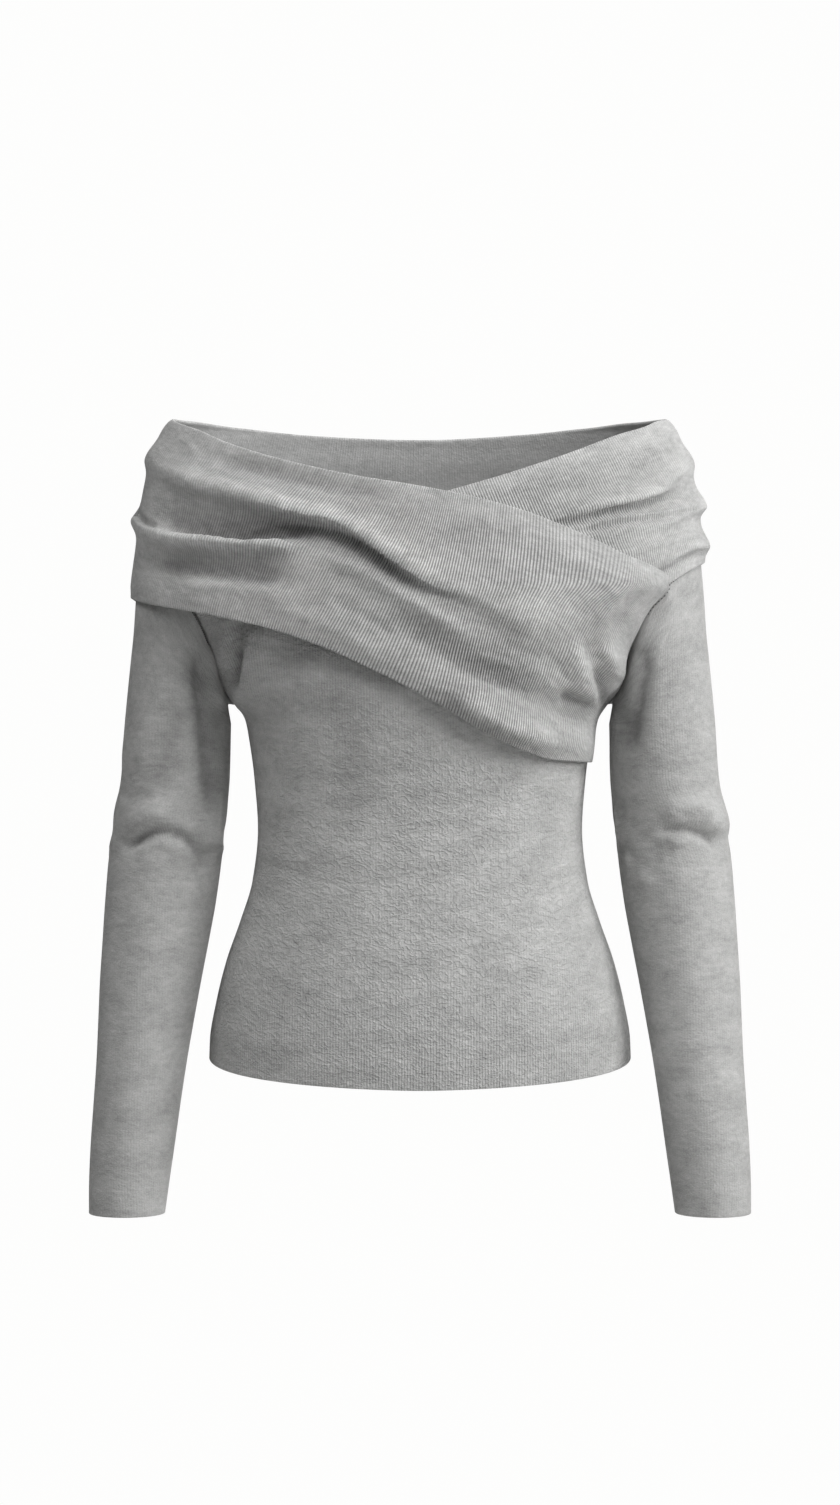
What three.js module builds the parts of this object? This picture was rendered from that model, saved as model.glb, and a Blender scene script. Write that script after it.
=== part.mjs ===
// Off-shoulder knitted top with a folded collar that wraps round both shoulders and crosses in front.
// It keeps the hollow form of a worn garment: neck, hem and cuffs are open.
// Millimetres, +Z up. The front faces -Y and the wearer's left is +X.
// The origin is the middle of the collar, where it grips the shoulders.
import * as THREE from "three";

// Driving sizes
const CLOTH = 1.5; // one layer of fine rib knit
const SEAM_GAP = 0.3; // space between pieces that are sewn together
const FULLNESS = 0.15; // how much squarer than an ellipse a level section is
const ARMPIT_Z = -153;
const END_INSET = 1.2; // degrees that the collar's sewn end stays short of the armhole seam
const PIT_INSET = 4.5; // the same beside the armpit, where the sleeve lies close to the panel
const FRONT_TOP_Z = -22; // the front panel ends here, under the collar
const BACK_TOP_Z = -14;
const HEM_SIDE_Z = -417;
const HEM_FRONT_DROP = 16.8; // the hem hangs lower at the middle than at the side seams
const HEM_BACK_DROP = 12;
const HEM_CURVE = 1.6; // the power that the hem's dip falls off with towards the side seams
const PANEL_TUCK = 5; // degrees that a panel's hidden top corners lie inside the armhole seam's angle
const EDGE_INSET = 0.06; // degrees that a panel's side lies inside the seam line: half the seam gap
const CAP_EASE = 1.5; // how much later than even the sleeve turns in to the seam's corner
const CAP_EASE_WIDTH = 45; // degrees of turn
const FOLDED_EDGE = 0.55; // the share of the collar's thickness that is left along its folded edges
const STEP = 1e-3; // the parameter step that a surface's normal is taken over

// Level sections of the body from hem to neck. The depths are those of the outer cloth from the plane
// of the side seams. "half" is the half width of the panels, and above the armpit it is where they
// would end if no sleeve were set in. "shoulder" is the half width round both arms.
const BODY = [
  { z: -445, half: 158.5, shoulder: 214.5, front: 104, back: 108 },
  { z: -405, half: 157.5, shoulder: 214.5, front: 102, back: 107 },
  { z: -375, half: 152.5, shoulder: 214.5, front: 99, back: 103 },
  { z: -345, half: 145, shoulder: 214.5, front: 96, back: 97 },
  { z: -315, half: 134.5, shoulder: 214.5, front: 92, back: 89 },
  { z: -285, half: 125.5, shoulder: 214.5, front: 89, back: 82 },
  { z: -247, half: 121.5, shoulder: 214.5, front: 88, back: 78 },
  { z: -210, half: 124, shoulder: 214.5, front: 93, back: 80 },
  { z: -180, half: 128, shoulder: 214.5, front: 101, back: 85 },
  { z: -165, half: 131, shoulder: 214.5, front: 105, back: 88 },
  { z: -153, half: 138.5, shoulder: 214.5, front: 108, back: 90 },
  { z: -140, half: 149, shoulder: 214.5, front: 111, back: 92 },
  { z: -115, half: 158.5, shoulder: 214.5, front: 112, back: 95 },
  { z: -100, half: 168, shoulder: 214.5, front: 111, back: 96 },
  { z: -84, half: 183, shoulder: 214, front: 109, back: 97 },
  { z: -65, half: 208, shoulder: 212, front: 105, back: 98 },
  { z: -46, half: 210.5, shoulder: 210.5, front: 100, back: 98 },
  { z: -20, half: 207.5, shoulder: 207.5, front: 93, back: 98 },
  { z: 0, half: 205, shoulder: 205, front: 88, back: 97 },
  { z: 20, half: 201, shoulder: 201, front: 82, back: 95 },
  { z: 35, half: 197, shoulder: 197, front: 77, back: 92 },
  { z: 45, half: 192.5, shoulder: 192.5, front: 73, back: 90 },
  { z: 52, half: 189.5, shoulder: 189.5, front: 70, back: 88 },
  { z: 58, half: 185, shoulder: 185, front: 67.5, back: 87 },
  { z: 62, half: 179, shoulder: 179, front: 66, back: 86 },
];

// The seam between a sleeve and the body. "turn" goes round the arm from the armpit over the front.
// The first table runs up the front panel, the second goes on over the arm under the collar. The back
// half of the seam mirrors the front half.
const PANEL_SEAM = [
  { turn: 0, angle: 90, z: ARMPIT_Z },
  { turn: 25, angle: 85, z: -138 },
  { turn: 50, angle: 77, z: -114 },
  { turn: 75, angle: 69, z: -90 },
  { turn: 98, angle: 61, z: -65 },
];
const SHOULDER_SEAM = [
  { turn: 98, angle: 61, z: -65 },
  { turn: 125, angle: 69, z: -55 },
  { turn: 150, angle: 80, z: -48.5 },
  { turn: 180, angle: 90, z: -46 },
];
const SEAM_TURNS = [0, 16, 32, 49, 66, 82, 98, 114, 130, 146, 163, 180];

// Level sections of a sleeve from the cuff to just under the armpit: the centre and the two half widths.
const SLEEVE = [
  { z: -530, x: 217.2, y: -34, across: 28.2, deep: 33 },
  { z: -510, x: 215.9, y: -32, across: 29.6, deep: 34.5 },
  { z: -480, x: 213.3, y: -29, across: 31.2, deep: 36 },
  { z: -450, x: 210.4, y: -25, across: 32.3, deep: 38 },
  { z: -420, x: 207.4, y: -20, across: 33.6, deep: 39.5 },
  { z: -390, x: 204.5, y: -14, across: 35.6, deep: 41 },
  { z: -360, x: 201.5, y: -8, across: 37.8, deep: 42.5 },
  { z: -330, x: 198, y: -2, across: 39.8, deep: 44 },
  { z: -300, x: 194.6, y: 3, across: 41.6, deep: 45.5 },
  { z: -270, x: 191.5, y: 6, across: 42.4, deep: 46.5 },
  { z: -240, x: 188.2, y: 6, across: 41.6, deep: 46.5 },
  { z: -210, x: 183.7, y: 4, across: 40.8, deep: 46 },
  { z: -168, x: 181.5, y: 0, across: 39.8, deep: 46 },
];

// Soft folds of a sleeve: ridges and hollows round the elbow and below the armpit.
const SLEEVE_FOLDS = [
  { turn: 120, z: -236, height: 2.6, wide: 55, tall: 13, slant: 0.1 },
  { turn: 115, z: -258, height: -3.2, wide: 50, tall: 9, slant: 0.12 },
  { turn: 25, z: -250, height: 2.4, wide: 30, tall: 12, slant: -0.5 },
  { turn: 40, z: -268, height: -2.2, wide: 30, tall: 9, slant: -0.5 },
  { turn: 250, z: -248, height: 2, wide: 50, tall: 14, slant: -0.1 },
  { turn: 60, z: -150, height: 2.2, wide: 16, tall: 45, slant: 0 },
  { turn: 32, z: -152, height: -2.4, wide: 15, tall: 34, slant: 0 },
];

// The collar is one strip. "turn" runs along it, from the end sewn into the wearer's left side seam,
// over the right shoulder (90), round the back (180), over the left shoulder (270), and on under the
// first stretch. The first table gives the angle and height of its top and low edge.
const COLLAR_EDGES = [
  { turn: -80, angleTop: -60, top: -64, angleLow: -89, low: -193 },
  { turn: -73, angleTop: -56.5, top: -60.5, angleLow: -81, low: -195 },
  { turn: -64, angleTop: -51, top: -55, angleLow: -70, low: -196 },
  { turn: -50, angleTop: -43, top: -44, angleLow: -49, low: -194 },
  { turn: -35, angleTop: -31, top: -27, angleLow: -33, low: -187 },
  { turn: -20, angleTop: -20, top: -13, angleLow: -18, low: -174 },
  { turn: -6, angleTop: -8, top: -2, angleLow: -5, low: -155 },
  { turn: 8, angleTop: 2, top: 5, angleLow: 8, low: -131 },
  { turn: 20, angleTop: 12, top: 11, angleLow: 19, low: -112 },
  { turn: 35, angleTop: 27, top: 22, angleLow: 32, low: -97 },
  { turn: 50, angleTop: 45, top: 37, angleLow: 49, low: -86 },
  { turn: 65, angleTop: 61, top: 50, angleLow: 64, low: -80 },
  { turn: 90, angleTop: 90, top: 60.5, angleLow: 90, low: -73 },
  { turn: 110, angleTop: 110, top: 61.5, angleLow: 110, low: -80 },
  { turn: 130, angleTop: 130, top: 59, angleLow: 130, low: -89 },
  { turn: 155, angleTop: 155, top: 53.5, angleLow: 155, low: -94 },
  { turn: 180, angleTop: 180, top: 51, angleLow: 180, low: -93 },
  { turn: 205, angleTop: 205, top: 54.5, angleLow: 205, low: -87 },
  { turn: 222, angleTop: 222, top: 58.5, angleLow: 222, low: -78 },
  { turn: 241, angleTop: 241, top: 61.5, angleLow: 241, low: -65 },
  { turn: 255, angleTop: 255, top: 61.5, angleLow: 255, low: -55 },
  { turn: 270, angleTop: 270, top: 60.5, angleLow: 270, low: -46 },
  { turn: 282, angleTop: 282, top: 58.5, angleLow: 282, low: -49 },
  { turn: 291, angleTop: 291, top: 56, angleLow: 291, low: -55 },
  { turn: 299, angleTop: 299, top: 51.5, angleLow: 299, low: -65 },
  { turn: 312, angleTop: 312, top: 43.5, angleLow: 312, low: -70 },
  { turn: 330, angleTop: 330, top: 26, angleLow: 330, low: -76 },
  { turn: 345, angleTop: 345, top: 10, angleLow: 345, low: -79 },
  { turn: 360, angleTop: 360, top: -5, angleLow: 360, low: -80 },
  { turn: 388, angleTop: 388, top: -28, angleLow: 388, low: -70 },
];
// How far the strip follows the armhole seam, how far it has widened from the panels to round the arms,
// how far its inner face stands off the panels, and how thick its cloth is, which is folded double
const COLLAR_STAND = [
  { turn: -80, sewn: 1, arms: 0, lift: 0.7, cloth: 1.5 },
  { turn: -73, sewn: 0.7, arms: 0, lift: 1, cloth: 1.7 },
  { turn: -64, sewn: 0.3, arms: 0, lift: 3, cloth: 2.2 },
  { turn: -50, sewn: 0, arms: 0, lift: 4.3, cloth: 2.5 },
  { turn: -35, sewn: 0, arms: 0.1, lift: 4.3, cloth: 2.5 },
  { turn: -20, sewn: 0, arms: 0.3, lift: 4.3, cloth: 2.5 },
  { turn: -6, sewn: 0, arms: 0.6, lift: 4.3, cloth: 2.5 },
  { turn: 8, sewn: 0, arms: 0.9, lift: 4.3, cloth: 2.5 },
  { turn: 20, sewn: 0, arms: 1, lift: 4.3, cloth: 2.5 },
  { turn: 35, sewn: 0, arms: 1, lift: 4, cloth: 2.5 },
  { turn: 50, sewn: 0, arms: 1, lift: 2, cloth: 2.5 },
  { turn: 65, sewn: 0, arms: 1, lift: 1.3, cloth: 2.5 },
  { turn: 90, sewn: 0, arms: 1, lift: 1.3, cloth: 2.5 },
  { turn: 110, sewn: 0, arms: 1, lift: 1.3, cloth: 2.5 },
  { turn: 130, sewn: 0, arms: 1, lift: 1.1, cloth: 2.5 },
  { turn: 155, sewn: 0, arms: 1, lift: 0.8, cloth: 2.5 },
  { turn: 180, sewn: 0, arms: 1, lift: 0.8, cloth: 2.5 },
  { turn: 205, sewn: 0, arms: 1, lift: 0.8, cloth: 2.5 },
  { turn: 222, sewn: 0, arms: 0.9, lift: 0.8, cloth: 2.5 },
  { turn: 241, sewn: 0, arms: 0, lift: 0.8, cloth: 2.5 },
  { turn: 255, sewn: 0, arms: 0, lift: 0.6, cloth: 2.5 },
  { turn: 270, sewn: 0, arms: 0, lift: 0.5, cloth: 2.5 },
  { turn: 282, sewn: 0, arms: 0, lift: 0.5, cloth: 2.5 },
  { turn: 291, sewn: 0, arms: 0, lift: 0.5, cloth: 2.2 },
  { turn: 299, sewn: 0, arms: 0, lift: 0.6, cloth: 1.5 },
  { turn: 312, sewn: 0, arms: 0, lift: 0.7, cloth: 2.5 },
  { turn: 330, sewn: 0, arms: 0, lift: 0.7, cloth: 2.5 },
  { turn: 345, sewn: 0, arms: 0, lift: 0.7, cloth: 2.5 },
  { turn: 360, sewn: 0, arms: 0, lift: 0.7, cloth: 2.5 },
  { turn: 388, sewn: 0, arms: 0, lift: 0.7, cloth: 2.5 },
];

const OVER_START = -80;
const RIGHT_SHOULDER = 90;
const LEFT_SHOULDER = 270;
const UNDER_END = 388;

// Folds that run along the collar. "across" is where the crest lies, from 0 at the top edge to 1 at the
// low edge, and "above" and "below" are the widths of its two sides on the same scale.
const UPPER_FOLD = [
  { turn: -80, across: 0.52, height: 0, above: 0.16, below: 0.07 },
  { turn: -45, across: 0.5, height: 0, above: 0.16, below: 0.07 },
  { turn: -22, across: 0.47, height: 3.5, above: 0.16, below: 0.06 },
  { turn: -6, across: 0.43, height: 6, above: 0.15, below: 0.055 },
  { turn: 8, across: 0.36, height: 7.5, above: 0.14, below: 0.055 },
  { turn: 20, across: 0.29, height: 7, above: 0.12, below: 0.06 },
  { turn: 35, across: 0.24, height: 5.5, above: 0.1, below: 0.09 },
  { turn: 50, across: 0.24, height: 4.8, above: 0.1, below: 0.08 },
  { turn: 65, across: 0.24, height: 4.4, above: 0.1, below: 0.07 },
  { turn: 90, across: 0.22, height: 4.2, above: 0.09, below: 0.06 },
  { turn: 135, across: 0.27, height: 5, above: 0.1, below: 0.07 },
  { turn: 180, across: 0.31, height: 3.5, above: 0.12, below: 0.08 },
  { turn: 225, across: 0.3, height: 5, above: 0.1, below: 0.07 },
  { turn: 270, across: 0.3, height: 3.6, above: 0.09, below: 0.08 },
  { turn: 290, across: 0.34, height: 4, above: 0.12, below: 0.06 },
  { turn: 312, across: 0.42, height: 5, above: 0.15, below: 0.05 },
  { turn: 325, across: 0.42, height: 3.4, above: 0.15, below: 0.05 },
  { turn: 336, across: 0.42, height: 0, above: 0.15, below: 0.05 },
];
const MIDDLE_FOLD = [
  { turn: -80, across: 0.76, height: 0, above: 0.06, below: 0.14 },
  { turn: -20, across: 0.7, height: 0, above: 0.06, below: 0.14 },
  { turn: 12, across: 0.54, height: 0, above: 0.06, below: 0.14 },
  { turn: 35, across: 0.53, height: 3, above: 0.055, below: 0.14 },
  { turn: 50, across: 0.59, height: 5, above: 0.05, below: 0.13 },
  { turn: 65, across: 0.6, height: 5.8, above: 0.05, below: 0.1 },
  { turn: 90, across: 0.57, height: 6, above: 0.06, below: 0.06 },
  { turn: 135, across: 0.58, height: 5, above: 0.08, below: 0.08 },
  { turn: 180, across: 0.62, height: 3, above: 0.09, below: 0.09 },
  { turn: 225, across: 0.6, height: 4.5, above: 0.08, below: 0.07 },
  { turn: 255, across: 0.6, height: 5.5, above: 0.1, below: 0.06 },
  { turn: 270, across: 0.61, height: 6.6, above: 0.1, below: 0.055 },
  { turn: 290, across: 0.61, height: 4.2, above: 0.08, below: 0.05 },
  { turn: 312, across: 0.6, height: 2.6, above: 0.06, below: 0.05 },
  { turn: 332, across: 0.58, height: 0, above: 0.06, below: 0.05 },
];
const LOW_FOLD = [
  { turn: -80, across: 0.95, height: 0.2, above: 0.1, below: 0.08 },
  { turn: -70, across: 0.95, height: 0.5, above: 0.1, below: 0.08 },
  { turn: -56, across: 0.93, height: 2.5, above: 0.12, below: 0.06 },
  { turn: -20, across: 0.93, height: 2.5, above: 0.12, below: 0.06 },
  { turn: 30, across: 0.93, height: 1.8, above: 0.14, below: 0.06 },
  { turn: 90, across: 0.93, height: 1.2, above: 0.12, below: 0.05 },
  { turn: 180, across: 0.93, height: 2, above: 0.12, below: 0.05 },
  { turn: 225, across: 0.92, height: 2.5, above: 0.12, below: 0.05 },
  { turn: 255, across: 0.9, height: 4.6, above: 0.09, below: 0.06 },
  { turn: 285, across: 0.87, height: 5, above: 0.09, below: 0.06 },
  { turn: 297, across: 0.84, height: 0, above: 0.06, below: 0.05 },
];
// The loose belly of the cloth between the crossing and the side seam, and the hollow below it
const BELLY_FOLD = [
  { turn: -80, across: 0.6, height: 0, above: 0.2, below: 0.2 },
  { turn: -64, across: 0.5, height: 2.6, above: 0.16, below: 0.12 },
  { turn: -45, across: 0.46, height: 4.5, above: 0.18, below: 0.14 },
  { turn: -27, across: 0.44, height: 4.5, above: 0.14, below: 0.13 },
  { turn: -12, across: 0.46, height: 0, above: 0.12, below: 0.1 },
];
const LOW_HOLLOW = [
  { turn: -70, across: 0.78, height: 0, above: 0.09, below: 0.08 },
  { turn: -50, across: 0.78, height: -2, above: 0.09, below: 0.08 },
  { turn: -26, across: 0.755, height: -2.4, above: 0.1, below: 0.08 },
  { turn: -8, across: 0.73, height: -1.8, above: 0.1, below: 0.08 },
  { turn: 10, across: 0.72, height: 0, above: 0.1, below: 0.08 },
];
// The top corner of the sewn end, which rises over the stretch beneath
const CORNER_FOLD = [
  { turn: -80, across: 0, height: 2.2, above: 0.1, below: 0.14 },
  { turn: -70, across: 0, height: 2.7, above: 0.1, below: 0.18 },
  { turn: -62, across: 0, height: 2.3, above: 0.1, below: 0.18 },
  { turn: -50, across: 0, height: 0, above: 0.1, below: 0.17 },
];
const COLLAR_FOLDS = [UPPER_FOLD, MIDDLE_FOLD, LOW_FOLD, BELLY_FOLD, LOW_HOLLOW, CORNER_FOLD];

// The collar's grid lines run along its two main crests, which lie at these shares of them.
const UPPER_LINE = 0.34;
const MIDDLE_LINE = 0.64;

const radians = (degrees) => (degrees * Math.PI) / 180;
const mix = (a, b, share) => a + (b - a) * share;
const clamp = (value, low, high) => Math.min(high, Math.max(low, value));
const smooth = (low, high, value) => {
  const t = clamp((value - low) / (high - low), 0, 1);
  return t * t * (3 - 2 * t);
};

// Slopes of a curve through a table's rows that never overshoots them.
function slopes(keys, values) {
  const last = keys.length - 1;
  const rise = keys.slice(1).map((key, i) => (values[i + 1] - values[i]) / (key - keys[i]));
  return keys.map((_, i) => {
    if (i === 0) return rise[0];
    if (i === last) return rise[last - 1];
    if (rise[i - 1] * rise[i] <= 0) return 0;
    const before = keys[i] - keys[i - 1];
    const after = keys[i + 1] - keys[i];
    const weight = 2 * after + before;
    const other = after + 2 * before;
    return (weight + other) / (weight / rise[i - 1] + other / rise[i]);
  });
}

// A function that reads one column of a table at any value of its key column.
function reader(table, key, name) {
  const keys = table.map((row) => row[key]);
  const values = table.map((row) => row[name]);
  const slope = slopes(keys, values);
  const last = keys.length - 1;
  return (at) => {
    if (at <= keys[0]) return values[0];
    if (at >= keys[last]) return values[last];
    let i = 0;
    while (keys[i + 1] < at) i += 1;
    const span = keys[i + 1] - keys[i];
    const t = (at - keys[i]) / span;
    const s = 1 - t;
    return (
      s * s * (1 + 2 * t) * values[i] +
      t * s * s * span * slope[i] +
      t * t * (3 - 2 * t) * values[i + 1] -
      t * t * s * span * slope[i + 1]
    );
  };
}

// Readers for every column of a table but its key, by name.
function readers(table, key) {
  const names = Object.keys(table[0]).filter((name) => name !== key);
  return Object.fromEntries(names.map((name) => [name, reader(table, key, name)]));
}

const body = readers(BODY, "z");
const sleeve = readers(SLEEVE, "z");
const collar = { ...readers(COLLAR_EDGES, "turn"), ...readers(COLLAR_STAND, "turn") };
const collarFolds = COLLAR_FOLDS.map((table) => readers(table, "turn"));
const [upperFold, middleFold] = collarFolds;
const panelSeamZ = reader(PANEL_SEAM, "turn", "z");
const panelSeamAngle = reader(PANEL_SEAM, "z", "angle");
const shoulderSeamAngle = reader(SHOULDER_SEAM, "turn", "angle");
const shoulderSeamZ = reader(SHOULDER_SEAM, "angle", "z");
const SEAM_CORNER = PANEL_SEAM.at(-1);

// A point of the level section at height z. The angle goes from the front (0) over the wearer's right
// side (90) to the back (180). "arms" widens the section from the panels to round the arms.
function bodyPoint(angle, z, arms, lift) {
  const a = radians(angle);
  const half = mix(body.half(z), body.shoulder(z), arms);
  const depth = Math.cos(a) > 0 ? body.front(z) : body.back(z);
  const out = new THREE.Vector2(Math.sin(a) / half, Math.cos(a) / depth).normalize();
  const squarer = 1 + FULLNESS * Math.sin(a) ** 2;
  const x = half * Math.sin(a) + out.x * lift;
  const y = depth * Math.cos(a) * squarer + out.y * lift;
  return new THREE.Vector3(-x, -y, z);
}

// The outward normal of a surface given as a function of two parameters.
function normalAt(surface, u, v) {
  const low = (t) => Math.max(0, t - STEP);
  const high = (t) => Math.min(1, t + STEP);
  const alongU = surface(high(u), v).sub(surface(low(u), v));
  const alongV = surface(u, high(v)).sub(surface(u, low(v)));
  return alongU.cross(alongV).normalize();
}

// A closed wall between a surface and its copy moved inwards by the cloth's thickness. "us" and "vs"
// are the parameters of the grid's lines. A tube's first and last u line are the same line.
function wall({ surface, us, vs, thickness, tube = false }) {
  const columns = tube ? us.length - 1 : us.length;
  const rows = vs.length;
  const layer = columns * rows;
  const position = new Float32Array(layer * 2 * 3);
  vs.forEach((v, row) => {
    for (let column = 0; column < columns; column += 1) {
      const u = us[column];
      const outer = surface(u, v);
      const normal = normalAt(surface, u, v);
      const inner = outer.clone().addScaledVector(normal, -thickness(u, v));
      const index = row * columns + column;
      outer.toArray(position, index * 3);
      inner.toArray(position, (layer + index) * 3);
    }
  });
  const faces = [];
  const at = (row, column) => row * columns + (column % columns);
  const corner = (index) => new THREE.Vector3().fromArray(position, index * 3);
  const spans = (a, b) => corner(a).distanceToSquared(corner(b));
  const quad = (a, b, c, d) => {
    if (spans(a, c) < spans(b, d)) faces.push(a, b, c, a, c, d);
    else faces.push(a, b, d, b, c, d);
  };
  const cells = tube ? columns : columns - 1;
  for (let row = 0; row < rows - 1; row += 1) {
    for (let column = 0; column < cells; column += 1) {
      const [a, b] = [at(row, column), at(row, column + 1)];
      const [c, d] = [at(row + 1, column + 1), at(row + 1, column)];
      quad(a, b, c, d);
      quad(layer + d, layer + c, layer + b, layer + a);
    }
  }
  for (let column = 0; column < cells; column += 1) {
    const [a, b] = [at(0, column), at(0, column + 1)];
    const [c, d] = [at(rows - 1, column), at(rows - 1, column + 1)];
    quad(b, a, layer + a, layer + b);
    quad(c, d, layer + d, layer + c);
  }
  if (!tube) {
    for (let row = 0; row < rows - 1; row += 1) {
      const [a, b] = [at(row, 0), at(row + 1, 0)];
      const [c, d] = [at(row, columns - 1), at(row + 1, columns - 1)];
      quad(a, b, layer + b, layer + a);
      quad(d, c, layer + c, layer + d);
    }
  }
  const geometry = new THREE.BufferGeometry();
  geometry.setAttribute("position", new THREE.BufferAttribute(position, 3));
  geometry.setIndex(faces);
  geometry.computeVertexNormals();
  return geometry;
}

// Evenly spaced parameters from 0 to 1.
const even = (count) => Array.from({ length: count + 1 }, (_, i) => i / count);

// Parameters from 0 to 1 for the given values between the first and the last of them.
const shares = (values) => values.map((value) => (value - values[0]) / (values.at(-1) - values[0]));

// Heights of a panel's grid lines along its side. Round the armpit they meet those of the sleeve.
const SIDE_LEVELS = [HEM_SIDE_Z, -396, -370, -344, -318, -292, -268, -244, -220, -200, -184, -172, -162]
  .concat(SEAM_TURNS.filter((turn) => turn <= SEAM_CORNER.turn).map((turn) => panelSeamZ(turn)));

// A point of the front (side 1) or back (side -1) panel. u goes across it and v from the hem to the
// hidden top edge.
function panelPoint(side, u, v) {
  const top = side > 0 ? FRONT_TOP_Z : BACK_TOP_Z;
  const drop = side > 0 ? HEM_FRONT_DROP : HEM_BACK_DROP;
  const across = 2 * u - 1;
  const z = mix(HEM_SIDE_Z - drop * (1 - Math.abs(across) ** HEM_CURVE), top, v);
  const level = mix(HEM_SIDE_Z, top, v);
  const edge = panelSeamAngle(level) - PANEL_TUCK * smooth(SEAM_CORNER.z, top, level) - EDGE_INSET;
  return bodyPoint(side > 0 ? -across * edge : 180 - across * edge, z, 0, 0);
}

function panel(side) {
  const top = side > 0 ? FRONT_TOP_Z : BACK_TOP_Z;
  const levels = SIDE_LEVELS.concat([mix(SEAM_CORNER.z, top, 0.3), mix(SEAM_CORNER.z, top, 0.65), top]);
  return wall({
    surface: (u, v) => panelPoint(side, u, v),
    us: even(20),
    vs: shares(levels),
    thickness: () => CLOTH,
  });
}

// A point of the armhole seam on the wearer's left arm, on the sleeve's side of the gap. turn goes
// round the arm from the armpit (0) over the front (90) and the outside (180) to the back (270).
function armholePoint(turn) {
  const near = Math.min(turn, 360 - turn);
  const over = near > SEAM_CORNER.turn;
  const angle = over ? shoulderSeamAngle(near) : panelSeamAngle(panelSeamZ(near));
  const z = over ? shoulderSeamZ(angle) : panelSeamZ(near);
  const point = bodyPoint(turn <= 180 ? -angle : 180 + angle, z, 0, 0);
  point.x += SEAM_GAP * (1 - smooth(90, 120, near));
  point.z -= SEAM_GAP * smooth(60, 110, near);
  return point;
}

const SLEEVE_TOP_Z = -168;
const CUFF_Z = -530;
const SLEEVE_LEVELS = [-530, -516, -495, -465, -435, -405, -375, -345, -318, -296, -278, -266, -257]
  .concat([-248, -238, -226, -212, -196, -182, -168]);
const CAP_LEVELS = [1.18, 1.36, 1.54, 1.72, 1.88, 2];

// How far the sleeve's folds lift its cloth.
function sleeveFold(turn, z) {
  return SLEEVE_FOLDS.reduce((sum, fold) => {
    const around = ((turn - fold.turn + 540) % 360) - 180;
    const up = z - fold.z - fold.slant * around;
    return sum + fold.height * Math.exp(-((around / fold.wide) ** 2) - (up / fold.tall) ** 2);
  }, 0);
}

// A point of the wearer's left sleeve. v is 0 at the cuff, 1 just under the armpit and 2 at the armhole.
function sleevePoint(u, v) {
  const turn = 360 * u;
  const t = radians(turn);
  const z = mix(CUFF_Z, SLEEVE_TOP_Z, Math.min(v, 1));
  const bulge = sleeveFold(turn, v > 1 ? mix(SLEEVE_TOP_Z, armholePoint(turn).z, v - 1) : z);
  const across = sleeve.across(z) + bulge * (1 - smooth(1.6, 2, v));
  const deep = sleeve.deep(z) + bulge * (1 - smooth(1.6, 2, v));
  const ring = new THREE.Vector3(sleeve.x(z) - across * Math.cos(t), sleeve.y(z) - deep * Math.sin(t), z);
  if (v <= 1) return ring;
  const seam = armholePoint(turn);
  const near = Math.min(turn, 360 - turn);
  const ease = 1 + CAP_EASE * Math.exp(-(((near - SEAM_CORNER.turn) / CAP_EASE_WIDTH) ** 2));
  const share = (v - 1) ** ease;
  return new THREE.Vector3(mix(ring.x, seam.x, share), mix(ring.y, seam.y, share), mix(z, seam.z, v - 1));
}

function sleeveWall(side) {
  const levels = shares(SLEEVE_LEVELS).concat(CAP_LEVELS);
  const turns = SEAM_TURNS.concat(SEAM_TURNS.slice(0, -1).map((turn) => 360 - turn).reverse());
  const surface = (u, v) => {
    const point = sleevePoint(side > 0 ? u : 1 - u, v * 2);
    point.x *= side;
    return point;
  };
  return wall({
    surface,
    us: shares(turns),
    vs: levels.map((level) => level / 2),
    thickness: () => CLOTH,
    tube: true,
  });
}

// How far the collar's folds lift its cloth from the stretch below.
function collarFold(turn, across) {
  return collarFolds.reduce((sum, fold) => {
    const offset = across - fold.across(turn);
    const width = offset < 0 ? fold.above(turn) : fold.below(turn);
    return sum + fold.height(turn) * Math.exp(-((offset / width) ** 2));
  }, 0);
}

// A point of the collar's outer face, from its sewn end (turn -80) to its hidden end. Over the
// wearer's left arm its low edge meets the sleeve's seam.
function collarPoint(turn, across) {
  const side = turn <= LEFT_SHOULDER ? turn - 180 : 360 - turn;
  const meets = turn > 180 && side >= SEAM_CORNER.angle;
  const low = meets ? shoulderSeamZ(side) : collar.low(turn);
  const z = mix(collar.top(turn), low, across);
  const even = mix(collar.angleTop(turn), collar.angleLow(turn), across);
  const inset = mix(END_INSET, PIT_INSET, smooth(-98, -128, z) * smooth(-185, -158, z));
  const angle = mix(even, inset - panelSeamAngle(z), collar.sewn(turn));
  const lift = collar.lift(turn) + collar.cloth(turn) + collarFold(turn, across);
  return bodyPoint(angle, z, collar.arms(turn), lift);
}

// Where a grid line lies across the collar, from its share of the lines.
function acrossAt(turn, line) {
  const upper = upperFold.across(turn);
  const middle = middleFold.across(turn);
  if (line < UPPER_LINE) return (upper * line) / UPPER_LINE;
  if (line > MIDDLE_LINE) return mix(middle, 1, (line - MIDDLE_LINE) / (1 - MIDDLE_LINE));
  return mix(upper, middle, (line - UPPER_LINE) / (MIDDLE_LINE - UPPER_LINE));
}

// One stretch of the collar through the given turns. Its cloth is thinner along both folded edges.
function collarStretch(turns, lines) {
  const turnAt = (u) => mix(turns[0], turns.at(-1), 1 - u);
  return wall({
    surface: (u, v) => collarPoint(turnAt(u), acrossAt(turnAt(u), 1 - v)),
    us: shares(turns).map((share) => 1 - share).reverse(),
    vs: lines.map((line) => 1 - line).reverse(),
    thickness: (u, v) => collar.cloth(turnAt(u)) * mix(FOLDED_EDGE, 1, smooth(0, 0.03, Math.min(v, 1 - v))),
  });
}

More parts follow.
